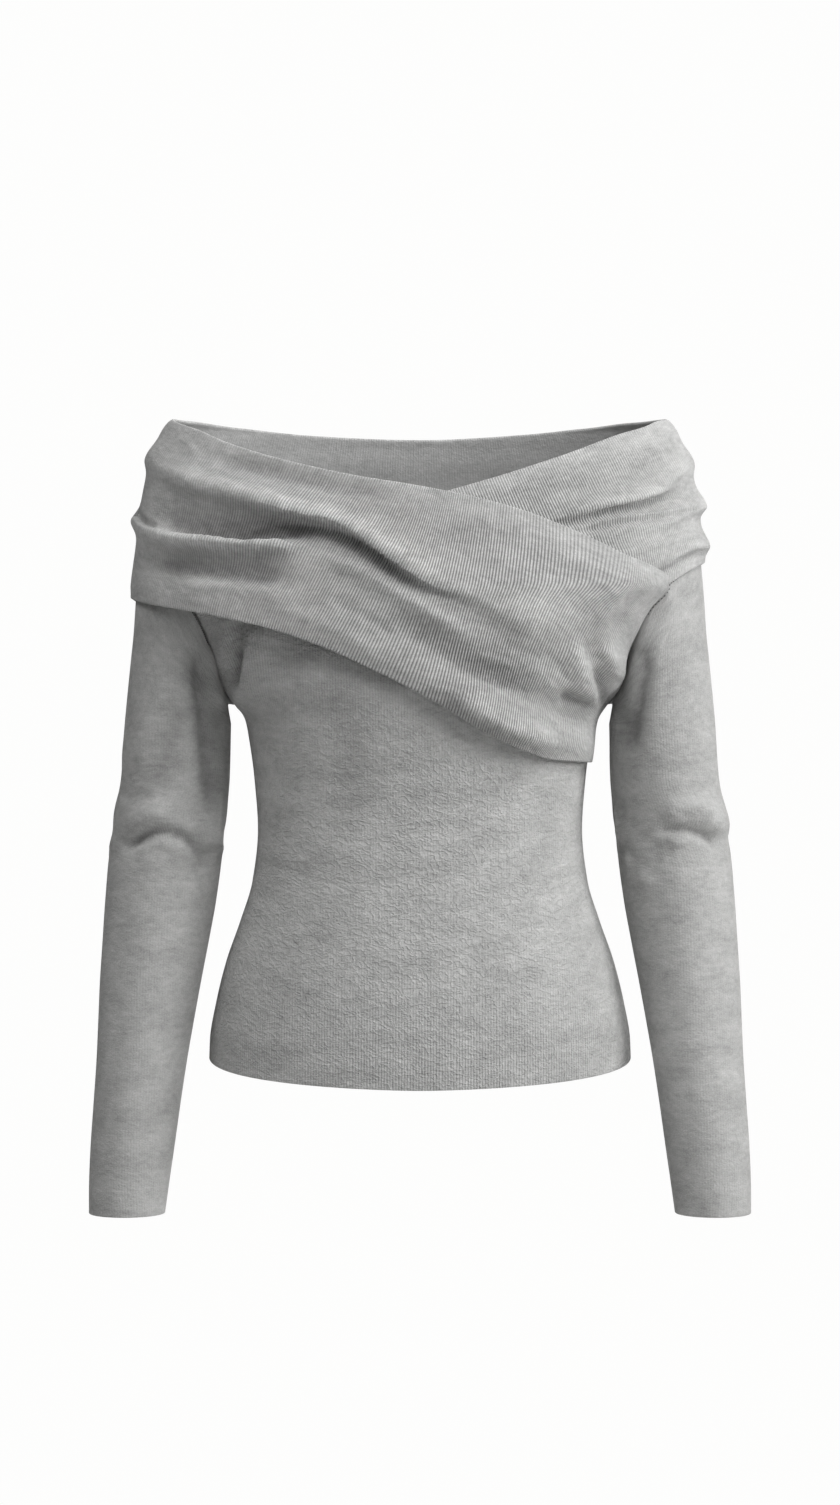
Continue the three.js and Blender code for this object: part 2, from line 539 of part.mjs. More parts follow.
// Turns spaced evenly between two turns.
const spaced = (from, to, count) => even(count).map((share) => mix(from, to, share));

const CREST_SIDES = [-0.13, -0.06, 0, 0.035, 0.07];
const FRONT_LINES = [0, 0.03, 0.065, 0.1, 0.145]
  .concat(CREST_SIDES.map((side) => UPPER_LINE + side), 0.47)
  .concat(CREST_SIDES.map((side) => MIDDLE_LINE + side))
  .concat([0.77, 0.84, 0.9, 0.965, 1]);
const BACK_LINES = [0, 0.035, 0.13, 0.21, 0.28, UPPER_LINE, 0.39, 0.45, 0.55, 0.6, MIDDLE_LINE]
  .concat([0.69, 0.76, 0.84, 0.9, 0.965, 1]);

function knit(color) {
  return new THREE.MeshStandardMaterial({ color, roughness: 0.95, metalness: 0, side: THREE.DoubleSide });
}

function piece(name, geometry, color) {
  const mesh = new THREE.Mesh(geometry, knit(color));
  mesh.name = name;
  return mesh;
}

const MM_A_DEGREE = 2.1; // along the collar where it rounds the side of the arm
const joint = SEAM_GAP / 2 / MM_A_DEGREE; // half a seam's gap as an angle
const overArm = SEAM_TURNS.filter((turn) => turn >= SEAM_CORNER.turn).map(shoulderSeamAngle);
const overTurns = spaced(OVER_START, RIGHT_SHOULDER - joint, 38);
const backTurns = spaced(RIGHT_SHOULDER + joint, 236, 26)
  .concat(overArm.slice(0, -1).map((angle) => 180 + angle), LEFT_SHOULDER - joint);
const underTurns = [LEFT_SHOULDER + joint]
  .concat(overArm.slice(0, -1).map((angle) => 360 - angle).reverse(), spaced(304, UNDER_END, 16));

const top = new THREE.Group();
top.add(piece("front_panel", panel(1), 0xa2a2a0));
top.add(piece("back_panel", panel(-1), 0x9c9c9a));
top.add(piece("sleeve_right", sleeveWall(-1), 0x9c9c9b));
top.add(piece("sleeve_left", sleeveWall(1), 0xa6a6a4));
top.add(piece("collar_over", collarStretch(overTurns, FRONT_LINES), 0xaaaaa7));
top.add(piece("collar_back", collarStretch(backTurns, BACK_LINES), 0xa0a09e));
top.add(piece("collar_under", collarStretch(underTurns, BACK_LINES), 0xadadab));

export default top;
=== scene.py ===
import math

import bpy
import numpy as np
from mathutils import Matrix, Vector


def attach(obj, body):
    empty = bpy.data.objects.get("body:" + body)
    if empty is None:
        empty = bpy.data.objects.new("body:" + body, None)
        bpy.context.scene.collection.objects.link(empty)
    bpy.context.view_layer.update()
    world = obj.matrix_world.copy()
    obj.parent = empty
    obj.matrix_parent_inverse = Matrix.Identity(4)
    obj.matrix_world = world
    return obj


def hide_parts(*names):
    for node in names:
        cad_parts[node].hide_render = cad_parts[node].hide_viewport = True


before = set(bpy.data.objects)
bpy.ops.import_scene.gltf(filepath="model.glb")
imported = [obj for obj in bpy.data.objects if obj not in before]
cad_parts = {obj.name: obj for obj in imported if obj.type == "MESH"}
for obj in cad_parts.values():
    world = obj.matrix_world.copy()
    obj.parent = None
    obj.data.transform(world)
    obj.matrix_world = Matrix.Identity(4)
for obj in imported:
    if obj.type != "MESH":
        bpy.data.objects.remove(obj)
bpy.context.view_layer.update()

MM = 0.001

# Driving sizes in millimetres, the same as the solids'
CLOTH = 1.5
SEAM_GAP = 0.3
FULLNESS = 0.15
ARMPIT_Z = -153
SLEEVE_TOP_Z = -168
CUFF_Z = -530
END_INSET = 1.2
PIT_INSET = 4.5
PIT_ABOVE = (-98, -128)  # heights over which the collar's end turns in to the armpit
PIT_BELOW = (-185, -158)
FRONT_TOP_Z = -22
BACK_TOP_Z = -14
HEM_SIDE_Z = -417
HEM_FRONT_DROP = 16.8
HEM_BACK_DROP = 12
HEM_CURVE = 1.6
PANEL_TUCK = 5
EDGE_INSET = 0.06
CAP_EASE = 1.5
CAP_EASE_WIDTH = 45
CAP_SPREAD = 34  # degrees that the corner is rounded over
CAP_FULL = 5  # how far the cap is filled out beside the seam
CAP_FULL_TURN, CAP_FULL_WIDTH = 66, 26
JOIN_HALF = 0.07  # half the gap between two stretches of the collar, in degrees

# The soft swell of the cloth in front of each arm
SWELL_X, SWELL_Z = 152, -98
SWELL_WIDE, SWELL_TALL = 30, 38
LEFT_SWELL, RIGHT_SWELL = 12, 5

# The camera, and how high its view is at the plane of the side seams
CAMERA_AWAY = 3000
CAMERA_Z = -189.4
PICTURE_HEIGHT = 1128.75
SENSOR = 36

# The mesh: points round a rolled edge, and the step that a surface's slope is taken over
RIM_STEPS = 4
STEP = 1e-3

# Nominal heights that the cloth's map runs up over
PANEL_HEIGHT = 400
CAP_HEIGHT = 80

# The knit's ribs, the loops along each, and how far a rib strays from its line
RIB_PITCH = 2.1
LOOP_PITCH = 1.3
RIB_WANDER = 0.6

# Creases fade over this share of their length at each end, and reach out this many widths. Those seen
# from one side of the body fade out between these two depths.
CREASE_ENDS = 0.25
CREASE_REACH = 3
FACING_FADE = (-12, 6)
SQUEEZED = 0.35  # the least share of its thickness that a crease leaves the cloth

# Painted light and shade: the colour is painted paler on the cloth's crests and darker in its hollows,
# where its ribs also show more, with deeper bumps and more painted shade between them. Each change grows
# with how far the cloth stands out, from the first of two distances to the second.
CREST_PAINTED_LIGHT, CREST_STANDS = 0.3, (3, 11)
HOLLOW_PAINTED_SHADE, HOLLOW_STANDS = 0.58, (1, -9)
HOLLOW_RIBBED, RIBBED_STANDS = 0.3, (1, -5)
PATCHY = 0.18  # how much the painted light and shade vary from patch to patch

# The collar's outer face may sink by this share of its thickness. In front it lies on the stretch beneath,
# which stands out this far where its end is pressed flat, between these turns.
COLLAR_GIVES = 0.75
UNDER_STANDS = 2.4
PRESSED_TURNS = (48, 28)


def table(names, *rows):
    """A short table as one array for each named column."""
    return {name: np.array(column, float) for name, column in zip(names.split(), zip(*rows))}


# Level sections of the body. "half" is the half width of the panels, "shoulder" that round both arms.
BODY = table(
    "z half shoulder front back",
    (-445, 158.5, 214.5, 104, 108), (-405, 157.5, 214.5, 102, 107), (-375, 152.5, 214.5, 99, 103),
    (-345, 145, 214.5, 96, 97), (-315, 134.5, 214.5, 92, 89), (-285, 125.5, 214.5, 89, 82),
    (-247, 121.5, 214.5, 88, 78), (-210, 124, 214.5, 93, 80), (-180, 128, 214.5, 101, 85),
    (-165, 131, 214.5, 105, 88), (-153, 138.5, 214.5, 108, 90), (-140, 149, 214.5, 111, 92),
    (-115, 158.5, 214.5, 112, 95), (-100, 168, 214.5, 111, 96), (-84, 183, 214, 109, 97),
    (-65, 208, 212, 105, 98), (-46, 210.5, 210.5, 100, 98), (-20, 207.5, 207.5, 93, 98),
    (0, 205, 205, 88, 97), (20, 201, 201, 82, 95), (35, 197, 197, 77, 92), (45, 192.5, 192.5, 73, 90),
    (52, 189.5, 189.5, 70, 88), (58, 185, 185, 67.5, 87), (62, 179, 179, 66, 86),
)

# The armhole seam, from the armpit up the panel and then on over the arm
PANEL_SEAM = table(
    "turn angle z", (0, 90, ARMPIT_Z), (25, 85, -138), (50, 77, -114), (75, 69, -90), (98, 61, -65)
)
SHOULDER_SEAM = table("turn angle z", (98, 61, -65), (125, 69, -55), (150, 80, -48.5), (180, 90, -46))
CORNER_TURN, CORNER_ANGLE, CORNER_Z = 98, 61, -65

# Level sections of a sleeve
SLEEVE = table(
    "z x y across deep",
    (-530, 217.2, -34, 28.2, 33), (-510, 215.9, -32, 29.6, 34.5), (-480, 213.3, -29, 31.2, 36),
    (-450, 210.4, -25, 32.3, 38), (-420, 207.4, -20, 33.6, 39.5), (-390, 204.5, -14, 35.6, 41),
    (-360, 201.5, -8, 37.8, 42.5), (-330, 198, -2, 39.8, 44), (-300, 194.6, 3, 41.6, 45.5),
    (-270, 191.5, 6, 42.4, 46.5), (-240, 188.2, 6, 41.6, 46.5), (-210, 183.7, 4, 40.8, 46),
    (-168, 181.5, 0, 39.8, 46),
)
SLEEVE_FOLDS = table(
    "turn z height wide tall slant",
    (120, -236, 2.6, 55, 13, 0.1), (115, -258, -3.2, 50, 9, 0.12), (25, -250, 2.4, 30, 12, -0.5),
    (40, -268, -2.2, 30, 9, -0.5), (250, -248, 2, 50, 14, -0.1), (60, -150, 2.2, 16, 45, 0),
    (32, -152, -2.4, 15, 34, 0),
)

# The collar strip from its sewn end (turn -80) over the right shoulder (90), round the back (180), over
# the left shoulder (270) and on under its own first stretch
COLLAR = table(
    "turn angleTop top angleLow low sewn arms lift cloth",
    (-80, -60, -64, -89, -193, 1, 0, 0.7, 1.5), (-73, -56.5, -60.5, -81, -195, 0.7, 0, 1, 1.7),
    (-64, -51, -55, -70, -196, 0.3, 0, 3, 2.2), (-50, -43, -44, -49, -194, 0, 0, 4.3, 2.5),
    (-35, -31, -27, -33, -187, 0, 0.1, 4.3, 2.5), (-20, -20, -13, -18, -174, 0, 0.3, 4.3, 2.5),
    (-6, -8, -2, -5, -155, 0, 0.6, 4.3, 2.5), (8, 2, 5, 8, -131, 0, 0.9, 4.3, 2.5),
    (20, 12, 11, 19, -112, 0, 1, 4.3, 2.5), (35, 27, 22, 32, -97, 0, 1, 4, 2.5),
    (50, 45, 37, 49, -86, 0, 1, 2, 2.5), (65, 61, 50, 64, -80, 0, 1, 1.3, 2.5),
    (90, 90, 60.5, 90, -73, 0, 1, 1.3, 2.5), (110, 110, 61.5, 110, -80, 0, 1, 1.3, 2.5),
    (130, 130, 59, 130, -89, 0, 1, 1.1, 2.5), (155, 155, 53.5, 155, -94, 0, 1, 0.8, 2.5),
    (180, 180, 51, 180, -93, 0, 1, 0.8, 2.5), (205, 205, 54.5, 205, -87, 0, 1, 0.8, 2.5),
    (222, 222, 58.5, 222, -78, 0, 0.9, 0.8, 2.5), (241, 241, 61.5, 241, -65, 0, 0, 0.8, 2.5),
    (255, 255, 61.5, 255, -55, 0, 0, 0.6, 2.5), (270, 270, 60.5, 270, -46, 0, 0, 0.5, 2.5),
    (282, 282, 58.5, 282, -49, 0, 0, 0.5, 2.5), (291, 291, 56, 291, -55, 0, 0, 0.5, 2.2),
    (299, 299, 51.5, 299, -65, 0, 0, 0.6, 1.5), (312, 312, 43.5, 312, -70, 0, 0, 0.7, 2.5),
    (330, 330, 26, 330, -76, 0, 0, 0.7, 2.5), (345, 345, 10, 345, -79, 0, 0, 0.7, 2.5),
    (360, 360, -5, 360, -80, 0, 0, 0.7, 2.5), (388, 388, -28, 388, -70, 0, 0, 0.7, 2.5),
)

# Folds along the collar: where the crest lies across it, its height, and the widths of its two sides
FOLD_COLUMNS = "turn across height above below"
UPPER_FOLD = table(
    FOLD_COLUMNS,
    (-80, 0.52, 0, 0.16, 0.07), (-45, 0.5, 0, 0.16, 0.07), (-22, 0.47, 3.5, 0.16, 0.06),
    (-6, 0.43, 6, 0.15, 0.055), (8, 0.36, 7.5, 0.14, 0.055), (20, 0.29, 7, 0.12, 0.06),
    (35, 0.24, 5.5, 0.1, 0.09), (50, 0.24, 4.8, 0.1, 0.08), (65, 0.24, 4.4, 0.1, 0.07),
    (90, 0.22, 4.2, 0.09, 0.06), (135, 0.27, 5, 0.1, 0.07), (180, 0.31, 3.5, 0.12, 0.08),
    (225, 0.3, 5, 0.1, 0.07), (270, 0.3, 3.6, 0.09, 0.08), (290, 0.34, 4, 0.12, 0.06),
    (312, 0.42, 5, 0.15, 0.05), (325, 0.42, 3.4, 0.15, 0.05), (336, 0.42, 0, 0.15, 0.05),
)
MIDDLE_FOLD = table(
    FOLD_COLUMNS,
    (-80, 0.76, 0, 0.06, 0.14), (-20, 0.7, 0, 0.06, 0.14), (12, 0.54, 0, 0.06, 0.14),
    (35, 0.53, 3, 0.055, 0.14), (50, 0.59, 5, 0.05, 0.13), (65, 0.6, 5.8, 0.05, 0.1),
    (90, 0.57, 6, 0.06, 0.06), (135, 0.58, 5, 0.08, 0.08), (180, 0.62, 3, 0.09, 0.09),
    (225, 0.6, 4.5, 0.08, 0.07), (255, 0.6, 5.5, 0.1, 0.06), (270, 0.61, 6.6, 0.1, 0.055),
    (290, 0.61, 4.2, 0.08, 0.05), (312, 0.6, 2.6, 0.06, 0.05), (332, 0.58, 0, 0.06, 0.05),
)
LOW_FOLD = table(
    FOLD_COLUMNS,
    (-80, 0.95, 0.2, 0.1, 0.08), (-70, 0.95, 0.5, 0.1, 0.08), (-56, 0.93, 2.5, 0.12, 0.06),
    (-20, 0.93, 2.5, 0.12, 0.06), (30, 0.93, 1.8, 0.14, 0.06), (90, 0.93, 1.2, 0.12, 0.05),
    (180, 0.93, 2, 0.12, 0.05), (225, 0.92, 2.5, 0.12, 0.05), (255, 0.9, 4.6, 0.09, 0.06),
    (285, 0.87, 5, 0.09, 0.06), (297, 0.84, 0, 0.06, 0.05),
)
BELLY_FOLD = table(
    FOLD_COLUMNS,
    (-80, 0.6, 0, 0.2, 0.2), (-64, 0.5, 2.6, 0.16, 0.12), (-45, 0.46, 4.5, 0.18, 0.14),
    (-27, 0.44, 4.5, 0.14, 0.13), (-12, 0.46, 0, 0.12, 0.1),
)
LOW_HOLLOW = table(
    FOLD_COLUMNS,
    (-70, 0.78, 0, 0.09, 0.08), (-50, 0.78, -2, 0.09, 0.08), (-26, 0.755, -2.4, 0.1, 0.08),
    (-8, 0.73, -1.8, 0.1, 0.08), (10, 0.72, 0, 0.1, 0.08),
)
CORNER_FOLD = table(
    FOLD_COLUMNS,
    (-80, 0, 2.2, 0.1, 0.14), (-70, 0, 2.7, 0.1, 0.18), (-62, 0, 2.3, 0.1, 0.18), (-50, 0, 0, 0.1, 0.17),
)
COLLAR_FOLDS = [UPPER_FOLD, MIDDLE_FOLD, LOW_FOLD, BELLY_FOLD, LOW_HOLLOW, CORNER_FOLD]

# How the ribs lean across the strip, and how plainly they show, along it
RIB_LEAN = table(
    "turn lean show",
    (-80, 0.3, 0.5), (-60, 0.25, 0.8), (-40, 0.12, 0.9), (-20, 0.08, 1), (-5, 0.16, 1), (10, 0.24, 1),
    (30, 0.26, 0.9), (50, 0.2, 0.65), (70, 0.1, 0.45), (90, 0, 0.4), (180, 0, 0.5), (270, 0, 0.35),
    (285, -0.1, 0.4), (310, -0.3, 0.7), (340, -0.36, 0.9), (388, -0.36, 0.9),
)

# Creases, listed one by one. Each has a height (a trough's is negative), the widths of its upper and lower
# side, and its course as seen from the front (or the back, for the hidden sides): x and z in the plane
# of the side seams.
OVER_CREASES = [
    (0.7, 3, 3, [(-184, 48), (-176, 43), (-166, 32)]),
    (-3.4, 7, 6, [(-169, 36), (-146, 29), (-118, 22), (-86, 14), (-52, 8), (-15, 2)]),
    (5.5, 7, 11, [(-201, 26), (-184, 19), (-160, 12), (-131, 4), (-101, -5), (-78, -11)]),
    (5.5, 8, 2.2, [
        (-132, 2), (-112, -4), (-90, -10), (-71, -14), (-54, -21),
        (-33, -34), (-14, -48), (8, -63), (38, -77),
    ]),
    (-5.8, 2.4, 5.5, [
        (-158, -26), (-128, -24), (-98, -21), (-75, -22), (-56, -28), (-36, -39), (-15, -55), (10, -69),
    ]),
    (-6.6, 18, 2.6, [(-206, -16), (-184, -22), (-158, -26), (-128, -28), (-98, -26), (-71, -28)]),
    (-4.7, 3, 2, [(-217, -4), (-213, -10), (-208, -16), (-196, -20)]),
    (8.5, 3, 6, [
        (-213, -20), (-202, -23), (-184, -28), (-160, -31), (-131, -33.5), (-101, -34), (-78, -37),
    ]),
    (-6, 12, 9, [(-211, -42), (-191, -47), (-161, -53), (-128, -56), (-94, -60)]),
    (2.5, 8, 7, [(-184, -63), (-161, -64), (-139, -66), (-112, -70), (-90, -80)]),
    (3.2, 4, 8, [(-90, -40), (-68, -44), (-44, -54), (-19, -69), (6, -83), (32, -98), (54, -109)]),
    (-2.6, 10, 9, [(-36, -78), (-14, -91), (15, -110), (45, -128), (75, -140), (99, -148)]),
    (0.9, 3.2, 3.2, [(40, -113), (57, -121), (75, -126)]),
    (-1, 3, 3, [(34, -126), (54, -138), (72, -142)]),
    (-0.8, 3.2, 3.2, [(58, -105), (78, -114), (96, -122)]),
    (0.8, 3, 3.4, [(80, -123), (94, -133), (102, -144)]),
    (-0.7, 3, 3, [(90, -112), (102, -123), (110, -135)]),
    (5, 7, 13, [(112, -102), (120, -120), (125, -134), (129, -146), (132, -158)]),
    (-4, 9, 6, [(122, -100), (129, -118), (135, -137), (139, -152), (142, -166)]),
    (-4, 5, 3.5, [(131, -124), (136, -138), (140, -152), (143, -165)]),
    (2.7, 6, 5, [(136, -109), (145, -122), (148, -138)]),
    (-4, 4.5, 4, [(102, -146), (114, -150), (124, -154), (133, -158)]),
    (6.5, 18, 9, [(20, -142), (42, -156), (69, -170), (94, -179), (116, -184)]),
    (-1.4, 3, 3, [(140, -105), (148, -92), (160, -76), (172, -66)]),
    (1.6, 4, 3, [(132, -100), (141, -84), (152, -69), (165, -57)]),
    (-1.1, 3, 4, [(105, -78), (124, -69), (144, -64), (160, -60)]),
    (-1.3, 4, 4, [(-68, -75), (-41, -87), (-15, -105)]),
    (1.3, 5, 5, [(-135, -75), (-98, -84), (-60, -99), (-22, -120)]),
]
UNDER_CREASES = [
    # This first one is hidden: it presses the end flat below the stretch on top.
    (-2.3, 16, 16, [
        (-226, -12), (-170, -18), (-110, -24), (-71, -27), (-46, -38),
        (-15, -56), (8, -68), (38, -80), (70, -90),
    ]),
    (2.4, 5, 3, [(105, -11), (128, -5), (151, -1), (172, 4), (194, 11)]),
    (-4.8, 2.6, 3.4, [(90, -20), (105, -17), (122, -14), (139, -9), (165, -4), (189, 4), (207, 12)]),
    (2.1, 2, 2, [(112, -22), (135, -16), (158, -12), (180, -10), (210, -2)]),
    (-2.9, 1.8, 2.4, [(110, -26), (135, -20), (158, -15), (180, -13), (210, -7), (216, -9)]),
    (1.9, 5, 3, [(142, -42), (172, -36), (198, -28), (216, -22)]),
    (-4.5, 2.6, 2.6, [(172, -58), (182, -52), (195, -46), (210, -40), (218, -37)]),
    (-1.3, 6, 6, [(105, 0), (142, 12), (180, 26), (202, 33)]),
]
FRONT_CREASES = [
    (4.5, 8, 15, [(-117, -84), (-126, -108), (-130, -127), (-133, -144), (-137, -160)]),
    (-3, 9, 7, [(-133, -82), (-136, -100), (-138, -118), (-139, -134), (-141, -150)]),
    (-4, 4, 4, [(-134, -108), (-137, -120), (-139, -133), (-141, -146)]),
    (-4, 9, 6, [(122, -100), (129, -118), (135, -137), (139, -152), (142, -166)]),
    (-4, 5, 3.5, [(131, -124), (136, -138), (140, -152), (143, -165)]),
    (1.4, 4, 4, [(-142, -80), (-146, -100), (-148, -118), (-148, -134)]),
    (1.3, 14, 14, [(-98, -150), (-90, -195), (-98, -248)]),
    (-1.3, 16, 16, [(-68, -142), (-56, -195), (-60, -255)]),
    (-1.2, 14, 12, [(105, -202), (94, -248), (99, -300)]),
    (-0.8, 5, 5, [(-124, -270), (-101, -278), (-75, -279)]),
    (0.8, 6, 6, [(75, -285), (98, -279), (120, -268)]),
]
BACK_CREASES = [
    (1.9, 6, 4, [(-200, 12), (-150, 4), (-90, -8), (-30, -12)]),
    (-2.2, 4, 4, [(-208, -8), (-160, -18), (-110, -26), (-60, -28)]),
    (1.6, 5, 5, [(-205, -40), (-150, -52), (-80, -60), (-10, -58), (50, -56)]),
    (-1.9, 5, 5, [(205, 4), (160, -6), (100, -20), (40, -28)]),
    (1.8, 5, 4, [(208, -22), (160, -32), (110, -44), (60, -50)]),
    (-1.3, 8, 8, [(190, 40), (140, 30), (80, 18), (10, 14)]),
]
RIGHT_SLEEVE_CREASES = [
    (4.1, 8, 10, [(-182, -129), (-193, -148), (-206, -173), (-219, -207)]),
    (-2, 10, 9, [(-178, -150), (-186, -176), (-195, -202), (-202, -225)]),
    (-5.8, 9, 8, [(-166, -98), (-167, -124), (-164, -154), (-159, -188), (-156, -222), (-156, -245)]),
    (3.7, 4, 4, [(-159, -105), (-155, -124), (-152, -142), (-148, -161)]),
    (3.6, 6, 7, [(-231, -270), (-228, -261), (-219, -248), (-210, -240), (-200, -234), (-186, -230)]),
    (-4.2, 6, 3.5, [
        (-225, -268), (-215, -258), (-205, -252), (-194, -250), (-182, -252), (-171, -259), (-157, -283),
    ]),
    (2.6, 4, 12, [(-216, -270), (-204, -261), (-192, -259), (-181, -261), (-170, -270)]),
    (3.4, 5, 4, [(-163, -234), (-158, -245), (-153, -258), (-150, -270)]),
    (1.5, 1.5, 1.5, [(-146, -218), (-149, -232), (-152, -248), (-151, -267)]),
    (-1.6, 5, 6, [(-226, -226), (-214, -222), (-199, -222)]),
]
LEFT_SLEEVE_CREASES = [
    (-5.4, 10, 9, [(172, -105), (169, -122), (163, -148), (158, -172), (154, -199)]),
    (2.6, 5, 5, [(162, -112), (158, -138), (152, -166)]),
    (5, 8, 8, [(178, -242), (188, -233), (199, -229), (214, -233), (224, -244), (229, -258)]),
    (-4.4, 6, 3, [(174, -251), (186, -248), (199, -249), (209, -251), (217, -255), (226, -264)]),
    (2.2, 3, 10, [(184, -258), (198, -257), (209, -259), (220, -266)]),
    (1.8, 3, 3, [(154, -260), (158, -274), (157, -290)]),
    (-1, 4, 4, [(177, -256), (178, -266), (179, -276)]),
    (2.7, 8, 7, [(153, -262), (164, -274), (172, -294)]),
    (1.5, 1.5, 1.5, [(145, -225), (148, -248), (148, -270)]),
]
PANEL_BACK_CREASES = [
    (1.8, 9, 9, [(-104, -130), (-96, -165), (-92, -205)]),
    (-2.1, 10, 9, [(112, -126), (102, -160), (96, -200)]),
    (1.7, 8, 12, [(-70, -236), (-30, -246), (20, -248), (66, -240)]),
    (-1.8, 7, 8, [(-84, -252), (-40, -264), (10, -266), (58, -258)]),
    (1.3, 10, 12, [(-90, -290), (-48, -282), (-6, -286)]),
]
SLEEVE_BACK_CREASES = [
    (2.7, 5, 7, [(165, -240), (180, -232), (198, -230), (214, -236)]),
    (-2.4, 4, 5, [(160, -262), (176, -252), (196, -250), (214, -256)]),
    (-1.8, 6, 6, [(168, -110), (166, -135), (160, -160)]),
]


class Curve:
    """A curve through two columns of a table that never overshoots its rows."""

    def __init__(self, keys, values):
        self.keys, self.values = keys, values
        span, rise = np.diff(keys), np.diff(values) / np.diff(keys)
        slope = np.zeros_like(values)
        slope[0], slope[-1] = rise[0], rise[-1]
        near, far = 2 * span[1:] + span[:-1], span[1:] + 2 * span[:-1]
        same = rise[:-1] * rise[1:] > 0
        before, after = rise[:-1][same], rise[1:][same]
        slope[1:-1][same] = (near + far)[same] / (near[same] / before + far[same] / after)
        self.slope = slope

    def __call__(self, at):
        at = np.clip(at, self.keys[0], self.keys[-1])
        i = np.clip(np.searchsorted(self.keys, at, side="right") - 1, 0, len(self.keys) - 2)
        span = self.keys[i + 1] - self.keys[i]
        t = (at - self.keys[i]) / span
        s = 1 - t
        return (
            s * s * (1 + 2 * t) * self.values[i]
            + t * s * s * span * self.slope[i]
            + t * t * (3 - 2 * t) * self.values[i + 1]
            - t * t * s * span * self.slope[i + 1]
        )


def curves(columns, key):
    """A curve for every column of a table but its key, by name."""
    return {name: Curve(columns[key], column) for name, column in columns.items() if name != key}


def mix(a, b, share):
    return a + (b - a) * share


def smooth(low, high, value):
    t = np.clip((value - low) / (high - low), 0, 1)
    return t * t * (3 - 2 * t)


body = curves(BODY, "z")
sleeve = curves(SLEEVE, "z")
collar = curves(COLLAR, "turn")
collar_folds = [curves(columns, "turn") for columns in COLLAR_FOLDS]
rib_along = curves(RIB_LEAN, "turn")
panel_seam_z = Curve(PANEL_SEAM["turn"], PANEL_SEAM["z"])
panel_seam_angle = Curve(PANEL_SEAM["z"], PANEL_SEAM["angle"])
shoulder_seam_angle = Curve(SHOULDER_SEAM["turn"], SHOULDER_SEAM["angle"])
shoulder_seam_z = Curve(SHOULDER_SEAM["angle"], SHOULDER_SEAM["z"])


def body_point(angle, z, arms, lift):
    """A point of the level section at height z; the angle runs from the front over the right side."""
    a = np.radians(angle)
    half = mix(body["half"](z), body["shoulder"](z), arms)
    depth = np.where(np.cos(a) > 0, body["front"](z), body["back"](z))
    out_x, out_y = np.sin(a) / half, np.cos(a) / depth
    length = np.hypot(out_x, out_y)
    squarer = 1 + FULLNESS * np.sin(a) ** 2
    x = half * np.sin(a) + out_x / length * lift
    y = depth * np.cos(a) * squarer + out_y / length * lift
    across, up = (np.abs(x) - SWELL_X) / SWELL_WIDE, (z - SWELL_Z) / SWELL_TALL
    swell = np.where(x < 0, LEFT_SWELL, RIGHT_SWELL) * smooth(0, 0.4, np.cos(a))
    y = y + swell * np.exp(-(across**2) - up**2)
    return np.stack([-x, -y, z + 0 * x], axis=-1)


def panel_point(side, u, v):
    """A point of the front (side 1) or back (side -1) panel; v runs from the hem to the top edge."""
    top = FRONT_TOP_Z if side > 0 else BACK_TOP_Z
    drop = HEM_FRONT_DROP if side > 0 else HEM_BACK_DROP
    across = 2 * u - 1
    z = mix(HEM_SIDE_Z - drop * (1 - np.abs(across) ** HEM_CURVE), top, v)
    level = mix(HEM_SIDE_Z, top, v)
    edge = panel_seam_angle(level) - PANEL_TUCK * smooth(CORNER_Z, top, level) - EDGE_INSET
    return body_point(-across * edge if side > 0 else 180 - across * edge, z, 0, 0)


def armhole_point(turn, lift=0, gap=SEAM_GAP):
    """A point of the left armhole seam, lifted off the cloth and set off from the panels by a gap.

    turn goes round the arm from the armpit over the front."""
    near = np.minimum(turn, 360 - turn)
    over = near > CORNER_TURN
    angle = np.where(over, shoulder_seam_angle(near), panel_seam_angle(panel_seam_z(near)))
    z = np.where(over, shoulder_seam_z(angle), panel_seam_z(near))
    point = body_point(np.where(turn <= 180, -angle, 180 + angle), z, 0, lift)
    # The gap lies sideways beside the body and turns upright over the arm.
    point[..., 0] += gap * (1 - smooth(90, 120, near))
    point[..., 2] -= gap * smooth(60, 110, near)
    return point


def sleeve_fold(turn, z):
    """How far the sleeve's main folds lift its cloth."""
    total = 0 * turn
    for fold in zip(*SLEEVE_FOLDS.values()):
        fold_turn, fold_z, height, wide, tall, slant = fold
        around = (turn - fold_turn + 540) % 360 - 180
        up = z - fold_z - slant * around
        total = total + height * np.exp(-((around / wide) ** 2) - (up / tall) ** 2)
    return total


